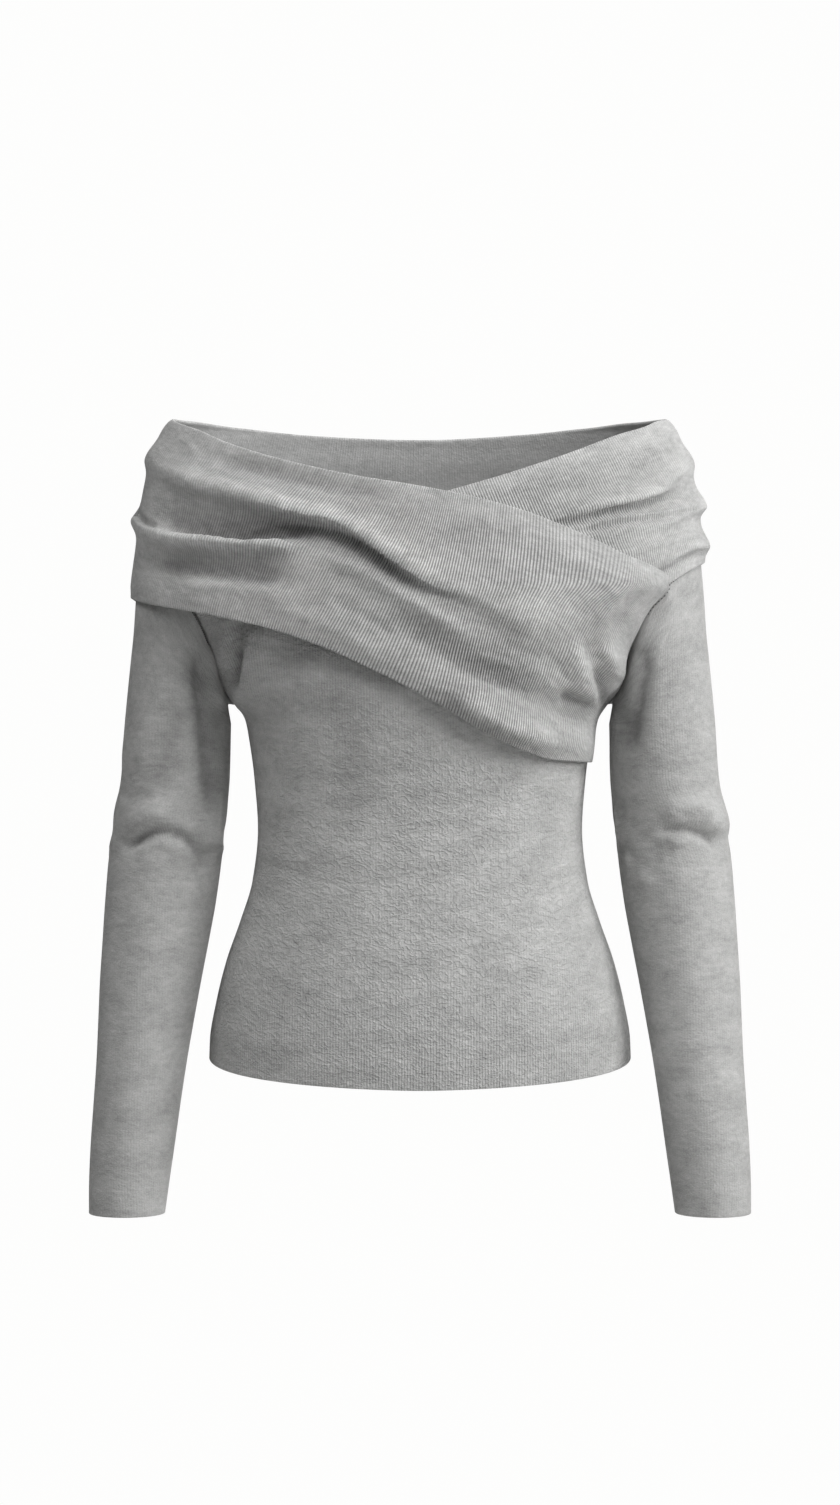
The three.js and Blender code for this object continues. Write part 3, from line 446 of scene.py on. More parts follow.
def sleeve_point(turn, v):
    """A point of the left sleeve: v is 0 at the cuff, 1 just under the armpit and 2 at the armhole."""
    t = np.radians(turn)
    z = mix(CUFF_Z, SLEEVE_TOP_Z, np.minimum(v, 1))
    # Away from the armhole the cloth rounds off the corner of its seam.
    spread = CAP_SPREAD * smooth(2, 1.5, v)
    seam = 0
    for step, weight in ((-1, 0.15), (-0.5, 0.2), (0, 0.3), (0.5, 0.2), (1, 0.15)):
        seam = seam + weight * armhole_point((turn + step * spread) % 360)
    height = np.where(v > 1, mix(SLEEVE_TOP_Z, seam[..., 2], np.maximum(v - 1, 0)), z)
    bulge = sleeve_fold(turn, height) * (1 - smooth(1.6, 2, v))
    across, deep = sleeve["across"](z) + bulge, sleeve["deep"](z) + bulge
    ring = np.stack([sleeve["x"](z) - across * np.cos(t), sleeve["y"](z) - deep * np.sin(t), z], axis=-1)
    share = np.clip(v - 1, 0, 1)
    near = np.minimum(turn % 360, 360 - turn % 360)
    eased = share ** (1 + CAP_EASE * np.exp(-(((near - CORNER_TURN) / CAP_EASE_WIDTH) ** 2)))
    point = mix(ring, seam, np.stack([eased, eased, share], axis=-1))
    front = np.where(turn % 360 < 180, -1, 1)
    fullest = np.exp(-(((near - CAP_FULL_TURN) / CAP_FULL_WIDTH) ** 2))
    point[..., 1] += front * CAP_FULL * np.sin(math.pi * share) * fullest
    return point


def collar_lift(turn, across):
    """How far the collar's folds lift its cloth from the stretch below."""
    total = 0 * turn
    for fold in collar_folds:
        offset = across - fold["across"](turn)
        width = np.where(offset < 0, fold["above"](turn), fold["below"](turn))
        total = total + fold["height"](turn) * np.exp(-((offset / width) ** 2))
    return total


def collar_point(turn, across):
    """A point of the collar's outer face; across is 0 at its top edge and 1 at its low edge."""
    side = np.where(turn <= 270, turn - 180, 360 - turn)
    meets = (turn > 180) & (side >= CORNER_ANGLE)
    low = np.where(meets, shoulder_seam_z(side), collar["low"](turn))
    z = mix(collar["top"](turn), low, across)
    even = mix(collar["angleTop"](turn), collar["angleLow"](turn), across)
    inset = mix(END_INSET, PIT_INSET, smooth(*PIT_ABOVE, z) * smooth(*PIT_BELOW, z))
    angle = mix(even, inset - panel_seam_angle(z), collar["sewn"](turn))
    lift = collar["lift"](turn) + collar["cloth"](turn) + collar_lift(turn, across)
    return body_point(angle, z, collar["arms"](turn), lift)


def smooth_line(points, count=48):
    """Evenly spaced points on a smooth line through a few given ones."""
    points = np.array(points, float)
    along = np.concatenate([[0], np.cumsum(np.linalg.norm(np.diff(points, axis=0), axis=1))])
    at = np.linspace(0, along[-1], count)
    return np.stack([Curve(along, points[:, i])(at) for i in range(2)], axis=-1)


def crease_heights(places, creases):
    """How far the listed creases lift the cloth at the given places (x, z) of one view."""
    total = np.zeros(places.shape[:-1])
    for height, above, below, points in creases:
        line = smooth_line(points)
        ahead = np.gradient(line, axis=0)
        ahead /= np.linalg.norm(ahead, axis=1, keepdims=True)
        # The upper side is the one that the line's normal points to when the line runs left to right.
        ahead *= np.where(line[-1, 0] >= line[0, 0], 1, -1)
        reach = CREASE_REACH * max(above, below)
        low, high = line.min(axis=0) - reach, line.max(axis=0) + reach
        near = ((places > low) & (places < high)).all(axis=-1)
        if not near.any():
            continue
        offset = places[near][:, None, :] - line[None]
        distance = np.linalg.norm(offset, axis=-1)
        nearest = distance.argmin(axis=1)
        rows = np.arange(len(nearest))
        upwards = np.stack([-ahead[:, 1], ahead[:, 0]], axis=-1)
        side = np.einsum("ij,ij->i", offset[rows, nearest], upwards[nearest])
        share = nearest / (len(line) - 1)
        fade = smooth(0, CREASE_ENDS, share) * smooth(1, 1 - CREASE_ENDS, share)
        width = np.where(side > 0, above, below)
        total[near] += height * fade * np.exp(-((distance[rows, nearest] / width) ** 2))
    return total


def seen(points, side=1):
    """Where points appear in the plane of the side seams, from the camera (side 1) or from behind."""
    scale = CAMERA_AWAY / (CAMERA_AWAY + side * points[..., 1])
    x = points[..., 0] * scale
    z = CAMERA_Z + (points[..., 2] - CAMERA_Z) * scale
    return np.stack([x, z], axis=-1)


def unit(vectors):
    return vectors / np.maximum(np.linalg.norm(vectors, axis=-1, keepdims=True), 1e-9)


def slopes(surface, grid_u, grid_v, u_ends, v_ends):
    """Steps along a surface in u, and unit steps in v, at each place of a grid."""
    before, after = np.maximum(grid_u - STEP, u_ends[0]), np.minimum(grid_u + STEP, u_ends[1])
    along_u = surface(after, grid_v) - surface(before, grid_v)
    before, after = np.maximum(grid_v - STEP, v_ends[0]), np.minimum(grid_v + STEP, v_ends[1])
    return along_u, unit(surface(grid_u, after) - surface(grid_u, before))


def rolled_end(outer, inner, along, ahead):
    """Rows of points round one end of a wall: over to its inner face (ahead 1), or back out (ahead -1)."""
    middle, half = (outer + inner) / 2, (outer - inner) / 2
    radius = np.linalg.norm(half, axis=-1, keepdims=True)
    swing = ahead * np.linspace(math.pi / 2, -math.pi / 2, RIM_STEPS + 2)[1:-1]
    edge = unit(along * ahead)
    return np.stack([middle + half * math.sin(a) + edge * radius * math.cos(a) for a in swing])


def round_wall(values):
    """Values at the outer face's rows, carried round the whole ring of rows of a wall."""
    far, near = (np.repeat(values[row][None], RIM_STEPS, axis=0) for row in (-1, 0))
    return np.concatenate([values, far, values[::-1], near])


def wall_faces(rows, columns, map_columns, tube):
    """The corners of a wall's faces in its mesh and in its map, their slots, and how many are smooth."""
    count = 2 * (rows + RIM_STEPS)
    ring, cell = np.meshgrid(np.arange(count), np.arange(columns if tube else columns - 1), indexing="ij")
    up, right = (ring + 1) % count, cell + 1
    corners = ((ring, cell), (ring, right), (up, right), (up, cell))
    faces = np.stack([(r * columns + c % columns).ravel() for r, c in corners], axis=-1).tolist()
    face_maps = np.stack([(r * map_columns + c).ravel() for r, c in corners], axis=-1).tolist()
    inner_foot = 2 * rows + RIM_STEPS - 1
    slots = ((ring >= rows + RIM_STEPS) & (ring < inner_foot)).ravel().astype(int).tolist()
    smooth_count = len(faces)
    if not tube:
        strips = [[row, row + 1, inner_foot - row - 1, inner_foot - row] for row in range(rows - 1)]
        strips.append(list(range(rows - 1, rows + RIM_STEPS + 1)))
        strips.append(list(range(inner_foot, count)) + [0])
        for column, way in ((0, 1), (columns - 1, -1)):
            faces += [[row * columns + column for row in strip[::way]] for strip in strips]
            face_maps += [[row * map_columns + column for row in strip[::way]] for strip in strips]
        slots += [0] * (len(faces) - smooth_count)
    return faces, face_maps, slots, smooth_count


def wall(name, surface, u, v, thickness, cloth_map, rib, creases, tube=False, relief=None, clear=None):
    """A closed wall of cloth with rolled ends, as one mesh with its own UV map in metres.

    surface gives the outer face at grid arrays, and thickness, cloth_map and rib give theirs in the same
    way. creases are (list, side) pairs, relief is how far the surface's own folds stand out, and clear is
    how far it may sink before it meets what lies beneath. The second material slot is the inner face."""
    grid_u, grid_v = np.meshgrid(u, v)
    outer = surface(grid_u, grid_v)
    u_ends = (-np.inf, np.inf) if tube else (u[0], u[-1])
    along_u, along_v = slopes(surface, grid_u, grid_v, u_ends, (v[0], v[-1]))
    normal = unit(np.cross(along_u, along_v))
    depth = thickness(grid_u, grid_v)[..., None]
    lift = np.zeros(outer.shape[:-1])
    for listed, side in creases:
        facing = smooth(*FACING_FADE, -side * outer[..., 1])
        lift += facing * crease_heights(seen(outer, side), listed)
    stands = lift if relief is None else lift + relief(grid_u, grid_v)
    if clear is not None:
        room = clear(grid_u, grid_v)
        lift = np.where(lift < 0, -room * np.tanh(-lift / room), lift)
    # In a deep trough the cloth is squeezed thinner before its inner face gives way.
    give = np.minimum(lift[..., None] + depth * (1 - SQUEEZED), 0)
    inner = outer + normal * (give - depth)
    outer = outer + normal * lift[..., None]

    # The rows run up the outer face, round one rolled end, down the inner face and round the other end.
    far = rolled_end(outer[-1], inner[-1], along_v[-1], 1)
    near = rolled_end(outer[0], inner[0], along_v[0], -1)
    columns = len(u) - 1 if tube else len(u)
    points = np.concatenate([outer, far, inner[::-1], near])[:, :columns]
    maps = round_wall(cloth_map(grid_u, grid_v))
    roll_on = np.linspace(0, 1, RIM_STEPS + 2)[1:-1, None] * MM
    maps[len(v) : len(v) + RIM_STEPS, :, 1] += roll_on
    maps[-RIM_STEPS:, :, 1] -= roll_on[::-1]

    faces, face_maps, slots, smooth_count = wall_faces(len(v), columns, len(u), tube)
    mesh = bpy.data.meshes.new(name)
    mesh.from_pydata((points.reshape(-1, 3) * MM).tolist(), [], faces)
    layer = mesh.uv_layers.new(name="cloth")
    places = [place for corners in face_maps for place in corners]
    layer.data.foreach_set("uv", maps.reshape(-1, 2)[places].ravel())
    mesh.polygons.foreach_set("use_smooth", np.arange(len(faces)) < smooth_count)
    mesh.polygons.foreach_set("material_index", slots)
    # Painted light and shade for the materials: the colour is paler on crests and darker in hollows, where
    # the ribs also show more.
    painted_shading = 1 + CREST_PAINTED_LIGHT * smooth(*CREST_STANDS, stands) - HOLLOW_PAINTED_SHADE * smooth(*HOLLOW_STANDS, stands)
    ribbed = rib(grid_u, grid_v) * (1 + HOLLOW_RIBBED * smooth(*RIBBED_STANDS, stands))
    for label, values in (("rib_show", ribbed), ("painted_shading", painted_shading)):
        attribute = mesh.attributes.new(label, "FLOAT", "POINT")
        attribute.data.foreach_set("value", round_wall(values)[:, :columns].ravel())
    mesh.update()
    piece = bpy.data.objects.new(name, mesh)
    bpy.context.scene.collection.objects.link(piece)
    return piece


# Shader groups


def group(name, inputs, outputs):
    """An empty shader group with named float, colour or vector sockets."""
    tree = bpy.data.node_groups.new(name, "ShaderNodeTree")
    for label, kind, value in inputs:
        socket = tree.interface.new_socket(label, in_out="INPUT", socket_type=kind)
        if value is not None:
            socket.default_value = value
    for label, kind in outputs:
        tree.interface.new_socket(label, in_out="OUTPUT", socket_type=kind)
    return tree, tree.nodes.new("NodeGroupInput"), tree.nodes.new("NodeGroupOutput")


FLOAT, COLOUR, VECTOR = "NodeSocketFloat", "NodeSocketColor", "NodeSocketVector"


class Wiring:
    """Short calls that add nodes to one tree. A value may be a number or another node's output."""

    def __init__(self, tree):
        self.tree = tree

    def put(self, socket, value):
        if isinstance(value, bpy.types.NodeSocket):
            self.tree.links.new(value, socket)
        elif value is not None:
            socket.default_value = value

    def math(self, operation, a, b=None, c=None):
        node = self.tree.nodes.new("ShaderNodeMath")
        node.operation = operation
        for socket, value in zip(node.inputs, (a, b, c)):
            self.put(socket, value)
        return node.outputs[0]

    def vector(self, x, y, z=0.0):
        node = self.tree.nodes.new("ShaderNodeCombineXYZ")
        for socket, value in zip(node.inputs, (x, y, z)):
            self.put(socket, value)
        return node.outputs[0]

    def split(self, vector):
        node = self.tree.nodes.new("ShaderNodeSeparateXYZ")
        self.put(node.inputs[0], vector)
        return node.outputs

    def noise(self, vector, scale, detail=2.0, roughness=0.5):
        node = self.tree.nodes.new("ShaderNodeTexNoise")
        self.put(node.inputs["Vector"], vector)
        self.put(node.inputs["Scale"], scale)
        self.put(node.inputs["Detail"], detail)
        self.put(node.inputs["Roughness"], roughness)
        return node.outputs["Fac"]

    def mapping(self, vector, turn=0.0, scale=(1, 1, 1)):
        node = self.tree.nodes.new("ShaderNodeMapping")
        self.put(node.inputs["Vector"], vector)
        node.inputs["Rotation"].default_value = (0, 0, turn)
        node.inputs["Scale"].default_value = scale
        return node.outputs[0]

    def range(self, value, low, high, to_low, to_high):
        node = self.tree.nodes.new("ShaderNodeMapRange")
        node.interpolation_type = "SMOOTHSTEP"
        for socket, given in zip(node.inputs, (value, low, high, to_low, to_high)):
            self.put(socket, given)
        return node.outputs[0]

    def scaled(self, colour, share):
        node = self.tree.nodes.new("ShaderNodeVectorMath")
        node.operation = "SCALE"
        self.put(node.inputs[0], colour)
        self.put(node.inputs["Scale"], share)
        return node.outputs[0]

    def attribute(self, name):
        node = self.tree.nodes.new("ShaderNodeAttribute")
        node.attribute_name = name
        return node.outputs["Fac"]

    def group(self, tree, **values):
        node = self.tree.nodes.new("ShaderNodeGroup")
        node.node_tree = tree
        for label, value in values.items():
            self.put(node.inputs[label.replace("_", " ")], value)
        return node.outputs


def rib_group():
    """Fine knitted ribs: their height, and the light on them, which is darker between their crowns."""
    tree, given, result = group(
        "knitted ribs",
        [
            ("Cloth", VECTOR, None), ("Pitch", FLOAT, RIB_PITCH * MM), ("Depth", FLOAT, 0.0003),
            ("Shade", FLOAT, 0.2), ("Show", FLOAT, 1.0),
        ],
        [("Height", FLOAT), ("Light", FLOAT)],
    )
    w = Wiring(tree)
    place = w.split(given.outputs["Cloth"])
    wander = w.noise(w.mapping(given.outputs["Cloth"], scale=(260, 60, 1)), 1.0, 2.0)
    shifted = w.math("MULTIPLY_ADD", w.math("SUBTRACT", wander, 0.5), RIB_WANDER * MM, place[0])
    phase = w.math("MULTIPLY", w.math("DIVIDE", shifted, given.outputs["Pitch"]), 2 * math.pi)
    wave = w.math("MULTIPLY_ADD", w.math("COSINE", phase), 0.5, 0.5)
    crown = w.math("POWER", wave, 0.7)
    # Knitted loops make each rib a row of beads.
    loops = w.math("MULTIPLY", place[1], 2 * math.pi / (LOOP_PITCH * MM))
    bead = w.math("MULTIPLY_ADD", w.math("SINE", loops), 0.02, 0.98)
    height = w.math("MULTIPLY", w.math("MULTIPLY", crown, bead), given.outputs["Depth"])
    w.put(result.inputs["Height"], w.math("MULTIPLY", height, given.outputs["Show"]))
    # Painted shade: the colour is darker between the ribs' crowns, the more so where they show more.
    shown = w.math("MULTIPLY", crown, given.outputs["Show"])
    between = w.math("SUBTRACT", 1.0, w.math("MULTIPLY", given.outputs["Show"], given.outputs["Shade"]))
    w.put(result.inputs["Light"], w.math("MULTIPLY_ADD", shown, given.outputs["Shade"], between))
    return tree


def melange_group():
    """The mixed greys of the yarn: fibre flecks, short brushed streaks and broad clouds."""
    tree, given, result = group(
        "grey melange",
        [
            ("Cloth", VECTOR, None), ("Base", COLOUR, (0.3, 0.3, 0.3, 1)), ("Flecks", FLOAT, 0.2),
            ("Streaks", FLOAT, 0.3), ("Clouds", FLOAT, 0.2),
        ],
        [("Color", COLOUR)],
    )
    w = Wiring(tree)
    cloth = given.outputs["Cloth"]
    fibre = w.noise(w.mapping(cloth, turn=0.1, scale=(700, 1500, 1)), 1.0, 3.0, 0.65)
    streaks = w.noise(w.mapping(cloth, turn=0.12, scale=(130, 270, 1)), 1.0, 4.0, 0.65)
    clouds = w.noise(w.mapping(cloth, turn=-0.1, scale=(26, 60, 1)), 1.0, 3.0, 0.6)
    light = 1.0
    for spread, amount in ((fibre, "Flecks"), (streaks, "Streaks"), (clouds, "Clouds")):
        light = w.math("MULTIPLY_ADD", w.math("SUBTRACT", spread, 0.5), given.outputs[amount], light)
    w.put(result.inputs["Color"], w.scaled(given.outputs["Base"], light))
    return tree


def crinkle_group():
    """Shallow slanted crinkles, the fine worm-like creases and pebbles of washed knit, and its fuzz."""
    tree, given, result = group(
        "washed crinkle",
        [
            ("Cloth", VECTOR, None), ("Crinkle", FLOAT, 0.0004), ("Worm", FLOAT, 0.0002),
            ("Pebble", FLOAT, 0.0002), ("Fuzz", FLOAT, 0.0001),
        ],
        [("Height", FLOAT)],
    )
    w = Wiring(tree)
    cloth = given.outputs["Cloth"]
    slant = w.noise(w.mapping(cloth, turn=math.radians(34), scale=(60, 210, 1)), 1.0, 3.0, 0.55)
    lines = w.noise(w.mapping(cloth, turn=math.radians(28), scale=(150, 230, 1)), 1.0, 2.0, 0.5)
    ridge = w.math("SUBTRACT", 1.0, w.math("ABSOLUTE", w.math("MULTIPLY_ADD", lines, 2.0, -1.0)))
    worm = w.math("POWER", ridge, 9.0)
    pebble = w.noise(cloth, 420.0, 2.0, 0.5)
    fuzz = w.noise(cloth, 1400.0, 2.0, 0.6)
    height = w.math("MULTIPLY", slant, given.outputs["Crinkle"])
    for form, amount in ((worm, "Worm"), (pebble, "Pebble"), (fuzz, "Fuzz")):
        height = w.math("MULTIPLY_ADD", form, given.outputs[amount], height)
    w.put(result.inputs["Height"], height)
    return tree


def painted_shading_group():
    """Painted light on crests and painted shade in hollows, as a factor on the colour, made patchy by a
    noise.
    """
    tree, given, result = group(
        "painted light and shade",
        [("Cloth", VECTOR, None), ("Worn", FLOAT, 1.0)],
        [("Light", FLOAT)],
    )
    w = Wiring(tree)
    patches = w.noise(w.mapping(given.outputs["Cloth"], turn=0.4, scale=(90, 150, 1)), 1.0, 3.0, 0.6)
    uneven = w.range(patches, 0.3, 0.7, 1 - PATCHY, 1 + PATCHY)
    change = w.math("MULTIPLY", w.math("SUBTRACT", given.outputs["Worn"], 1.0), uneven)
    w.put(result.inputs["Light"], w.math("ADD", change, 1.0))
    return tree


ribs, melange, crinkle, shading_paint = rib_group(), melange_group(), crinkle_group(), painted_shading_group()


# The finishes: the depth of the ribs and the painted shade between their crowns, then the amounts of the
# effects.
# Depths are in millimetres.
FINISHES = table(
    "ribDepth ribDark flecks streaks clouds crinkle worm pebble fuzz",
    (0.65, 0.55, 0.8, 0.75, 0.75, 0.5, 0.15, 0.15, 0.08),  # collar
    (0.25, 0.16, 0.9, 0.65, 0.7, 0.8, 0.5, 0.3, 0.1),  # panels
    (0.14, 0.08, 0.9, 0.7, 0.65, 0.5, 0.15, 0.26, 0.1),  # sleeves
    (0.12, 0.1, 0.6, 0.6, 0.4, 0.2, 0.1, 0.25, 0.1),  # inner faces
)
COLLAR_FINISH, PANEL_FINISH, SLEEVE_FINISH, INNER_FINISH = range(4)


def new_material(name, roughness):
    """A new material, the wiring of its nodes and its shader."""
    material = bpy.data.materials.new(name)
    material.use_nodes = True
    shader = material.node_tree.nodes["Principled BSDF"]
    shader.inputs["Roughness"].default_value = roughness
    return material, Wiring(material.node_tree), shader


def knit(name, base, kind, show=None):
    """One finish of the knit, from the effects above. Its ribs show as given, or as the cloth says."""
    finish = {label: float(column[kind]) for label, column in FINISHES.items()}
    material, w, shader = new_material(name, 0.92)
    shader.inputs["Specular IOR Level"].default_value = 0.18
    shader.inputs["Sheen Weight"].default_value = 0.16
    shader.inputs["Sheen Roughness"].default_value = 0.5
    shader.inputs["Sheen Tint"].default_value = (0.9, 0.9, 0.88, 1)
    cloth = w.tree.nodes.new("ShaderNodeUVMap")
    cloth.uv_map = "cloth"
    place = cloth.outputs[0]
    yarn = w.group(
        melange, Cloth=place, Base=base, Flecks=finish["flecks"], Streaks=finish["streaks"],
        Clouds=finish["clouds"],
    )
    rib = w.group(
        ribs, Cloth=place, Pitch=RIB_PITCH * MM, Depth=finish["ribDepth"] * MM, Shade=finish["ribDark"],
        Show=w.attribute("rib_show") if show is None else show,
    )
    creased = w.group(
        crinkle, Cloth=place, Crinkle=finish["crinkle"] * MM, Worm=finish["worm"] * MM,
        Pebble=finish["pebble"] * MM, Fuzz=finish["fuzz"] * MM,
    )
    # Painted shade between the ribs' crowns and painted light and shade on crests and hollows scale the
    # yarn's colour.
    painted_shading = w.group(shading_paint, Cloth=place, Worn=w.attribute("painted_shading"))
    light = w.math("MULTIPLY", rib["Light"], painted_shading["Light"])
    w.put(shader.inputs["Base Color"], w.scaled(yarn["Color"], light))
    bump = w.tree.nodes.new("ShaderNodeBump")
    bump.inputs["Strength"].default_value = 1.0
    bump.inputs["Distance"].default_value = 1.0
    w.put(bump.inputs["Height"], w.math("ADD", rib["Height"], creased["Height"]))
    w.put(shader.inputs["Normal"], bump.outputs["Normal"])
    return material


SLEEVE_GREY = (0.42, 0.42, 0.414, 1)
PANEL_GREY = (0.455, 0.455, 0.449, 1)
COLLAR_GREY = (0.51, 0.51, 0.504, 1)
INNER_GREY = (0.46, 0.46, 0.456, 1)
collar_knit = knit("collar knit", COLLAR_GREY, COLLAR_FINISH)
panel_knit = knit("panel knit", PANEL_GREY, PANEL_FINISH)
sleeve_knit = knit("sleeve knit", SLEEVE_GREY, SLEEVE_FINISH)
inside_knit = knit("inside knit", INNER_GREY, INNER_FINISH, show=0.6)


# The cut pieces


def finish_piece(piece, outer_knit, node):
    """Gives a piece the knit of its two faces, hangs it from the root body and hides the solid of its
    node.
    """
    piece.data.materials.append(outer_knit)
    piece.data.materials.append(inside_knit)
    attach(piece, "root")
    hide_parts(node)


def arc_lengths(surface, u, v):
    """Lengths along u from the middle column, at each row, in metres."""
    grid_u, grid_v = np.meshgrid(u, v)
    points = surface(grid_u, grid_v)
    steps = np.linalg.norm(np.diff(points, axis=1), axis=-1)
    along = np.concatenate([np.zeros((len(v), 1)), np.cumsum(steps, axis=1)], axis=1)
    centre = np.array([np.interp(0.5, u, row) for row in along])
    return (along - centre[:, None]) * MM


def cloth_thick(gu, gv):
    return CLOTH + 0 * gu


def panel(name, side, creases):
    surface = lambda u, v: panel_point(side, u, v)
    u, v = np.linspace(0, 1, 181), np.linspace(0, 1, 211)
    along = arc_lengths(surface, u, v)
    cloth_map = lambda gu, gv: np.stack([along, (HEM_SIDE_Z + gv * PANEL_HEIGHT) * MM], axis=-1)
    # The ribs show most by the hem and below the collar.
    show = lambda gu, gv: 0.35 + 0.65 * smooth(0.25, 0.02, gv) + 0.9 * smooth(0.55, 0.8, gv)
    return wall(name, surface, u, v, cloth_thick, cloth_map, show, creases)


front = panel("front_cloth", 1, [(FRONT_CREASES, 1)])
finish_piece(front, panel_knit, "front_panel")
back = panel("back_cloth", -1, [(PANEL_BACK_CREASES, -1)])
finish_piece(back, panel_knit, "back_panel")


def sleeve_piece(name, side, creases):
    def surface(u, v):
        points = sleeve_point(360 * (u if side > 0 else 1 - u), v)
        points[..., 0] *= side
        return points

    u = np.linspace(0, 1, 129)
    v = np.concatenate([np.linspace(0, 1, 190), np.linspace(1, 2, 50)[1:]])
    along = arc_lengths(surface, u, v)

    def cloth_map(gu, gv):
        below, above = (SLEEVE_TOP_Z - CUFF_Z) * np.minimum(gv, 1), CAP_HEIGHT * np.maximum(gv - 1, 0)
        return np.stack([along, (CUFF_Z + below + above) * MM], axis=-1)

    show = lambda gu, gv: 0.5 + 0 * gu
    return wall(name, surface, u, v, cloth_thick, cloth_map, show, creases, tube=True)


mirrored_back = [(h, a, b, [(-x, z) for x, z in points]) for h, a, b, points in SLEEVE_BACK_CREASES]
right = sleeve_piece("right_sleeve_cloth", -1, [(RIGHT_SLEEVE_CREASES, 1), (mirrored_back, -1)])
finish_piece(right, sleeve_knit, "sleeve_right")
left = sleeve_piece("left_sleeve_cloth", 1, [(LEFT_SLEEVE_CREASES, 1), (SLEEVE_BACK_CREASES, -1)])
finish_piece(left, sleeve_knit, "sleeve_left")


def collar_piece(name, first, last, count, creases, beneath=0.0):
    """One stretch of the collar. u runs against the turn, so that the faces point outwards.

    beneath is how far another stretch stands out under its front part."""
    turn_at = lambda u: mix(last, first, u)
    surface = lambda u, v: collar_point(turn_at(u), 1 - v)
    u, v = np.linspace(0, 1, count), np.linspace(0, 1, 141)
    steps = np.linalg.norm(np.diff(surface(u, 0 * u + 0.5), axis=0), axis=-1)
    along = -np.concatenate([[0], np.cumsum(steps)])

    def cloth_map(gu, gv):
        turn = turn_at(gu)
        height = collar["top"](turn) - collar["low"](turn)
        down = (1 - gv) * height
        lean = rib_along["lean"](turn) * (down - height / 2)
        return np.stack([(along[None] - lean) * MM, -down * MM], axis=-1)

    def clear(gu, gv):
        turn = turn_at(gu)
        own_room = collar["lift"](turn) + COLLAR_GIVES * collar["cloth"](turn)
        return relief(gu, gv) + (own_room - beneath * smooth(*PRESSED_TURNS, turn))

    thick = lambda gu, gv: collar["cloth"](turn_at(gu)) + 0 * gv
    relief = lambda gu, gv: collar_lift(turn_at(gu), 1 - gv)
    # The ribs fade towards the top edge.
    show = lambda gu, gv: rib_along["show"](turn_at(gu)) * (0.55 + 0.45 * smooth(1.0, 0.8, gv))
    return wall(name, surface, u, v, thick, cloth_map, show, creases, relief=relief, clear=clear)


over = collar_piece("collar_over_cloth", -80, 90 - JOIN_HALF, 261, [(OVER_CREASES, 1)], UNDER_STANDS)
finish_piece(over, collar_knit, "collar_over")
collar_rear = collar_piece("collar_back_cloth", 90 + JOIN_HALF, 270 - JOIN_HALF, 241, [(BACK_CREASES, -1)])
finish_piece(collar_rear, collar_knit, "collar_back")
under = collar_piece("collar_under_cloth", 270 + JOIN_HALF, 388, 181, [(UNDER_CREASES, 1)])
finish_piece(under, collar_knit, "collar_under")


# Stitches along the seams


def stitch_tree():
    """One rounded dash of thread at every step along a line of points."""
    tree = bpy.data.node_groups.new("seam stitches", "GeometryNodeTree")
    sockets = (
        ("Line", "NodeSocketGeometry"), ("Spacing", FLOAT), ("Length", FLOAT), ("Thickness", FLOAT),
        ("Seed", "NodeSocketInt"), ("Thread", "NodeSocketMaterial"),
    )
    for label, kind in sockets:
        tree.interface.new_socket(label, in_out="INPUT", socket_type=kind)
    tree.interface.new_socket("Stitches", in_out="OUTPUT", socket_type="NodeSocketGeometry")
    given, result = tree.nodes.new("NodeGroupInput"), tree.nodes.new("NodeGroupOutput")
    w = Wiring(tree)
    line = tree.nodes.new("GeometryNodeMeshToCurve")
    w.put(line.inputs["Mesh"], given.outputs["Line"])
    steps = tree.nodes.new("GeometryNodeResampleCurve")
    steps.mode = "LENGTH"
    w.put(steps.inputs["Curve"], line.outputs[0])
    w.put(steps.inputs["Length"], given.outputs["Spacing"])
    dash = tree.nodes.new("GeometryNodeMeshUVSphere")
    dash.inputs["Segments"].default_value = 6
    dash.inputs["Rings"].default_value = 5
    dash.inputs["Radius"].default_value = 0.5
    along = tree.nodes.new("FunctionNodeAlignRotationToVector")
    along.axis = "Z"
    w.put(along.inputs["Vector"], tree.nodes.new("GeometryNodeInputTangent").outputs[0])
    uneven = tree.nodes.new("FunctionNodeRandomValue")
    uneven.inputs[2].default_value = 0.65
    uneven.inputs[3].default_value = 1.1
    w.put(uneven.inputs["Seed"], given.outputs["Seed"])
    long = w.math("MULTIPLY", uneven.outputs[1], given.outputs["Length"])
    place = tree.nodes.new("GeometryNodeInstanceOnPoints")
    w.put(place.inputs["Points"], steps.outputs[0])
    w.put(place.inputs["Instance"], dash.outputs["Mesh"])
    w.put(place.inputs["Rotation"], along.outputs[0])
    thick = given.outputs["Thickness"]
    w.put(place.inputs["Scale"], w.vector(thick, thick, long))
    real = tree.nodes.new("GeometryNodeRealizeInstances")
    w.put(real.inputs["Geometry"], place.outputs[0])
    colour = tree.nodes.new("GeometryNodeSetMaterial")
    w.put(colour.inputs["Geometry"], real.outputs[0])
    w.put(colour.inputs["Material"], given.outputs["Thread"])
    w.put(result.inputs["Stitches"], colour.outputs[0])
    return tree


def thread_material(name, colour):
    """Thread with the knit's own mixed tones."""
    material, w, shader = new_material(name, 0.85)
    spot = w.tree.nodes.new("ShaderNodeTexCoord")
    yarn = w.group(melange, Cloth=spot.outputs["Object"], Base=colour, Flecks=0.4, Streaks=0.3, Clouds=0.2)
    w.put(shader.inputs["Base Color"], yarn["Color"])
    return material


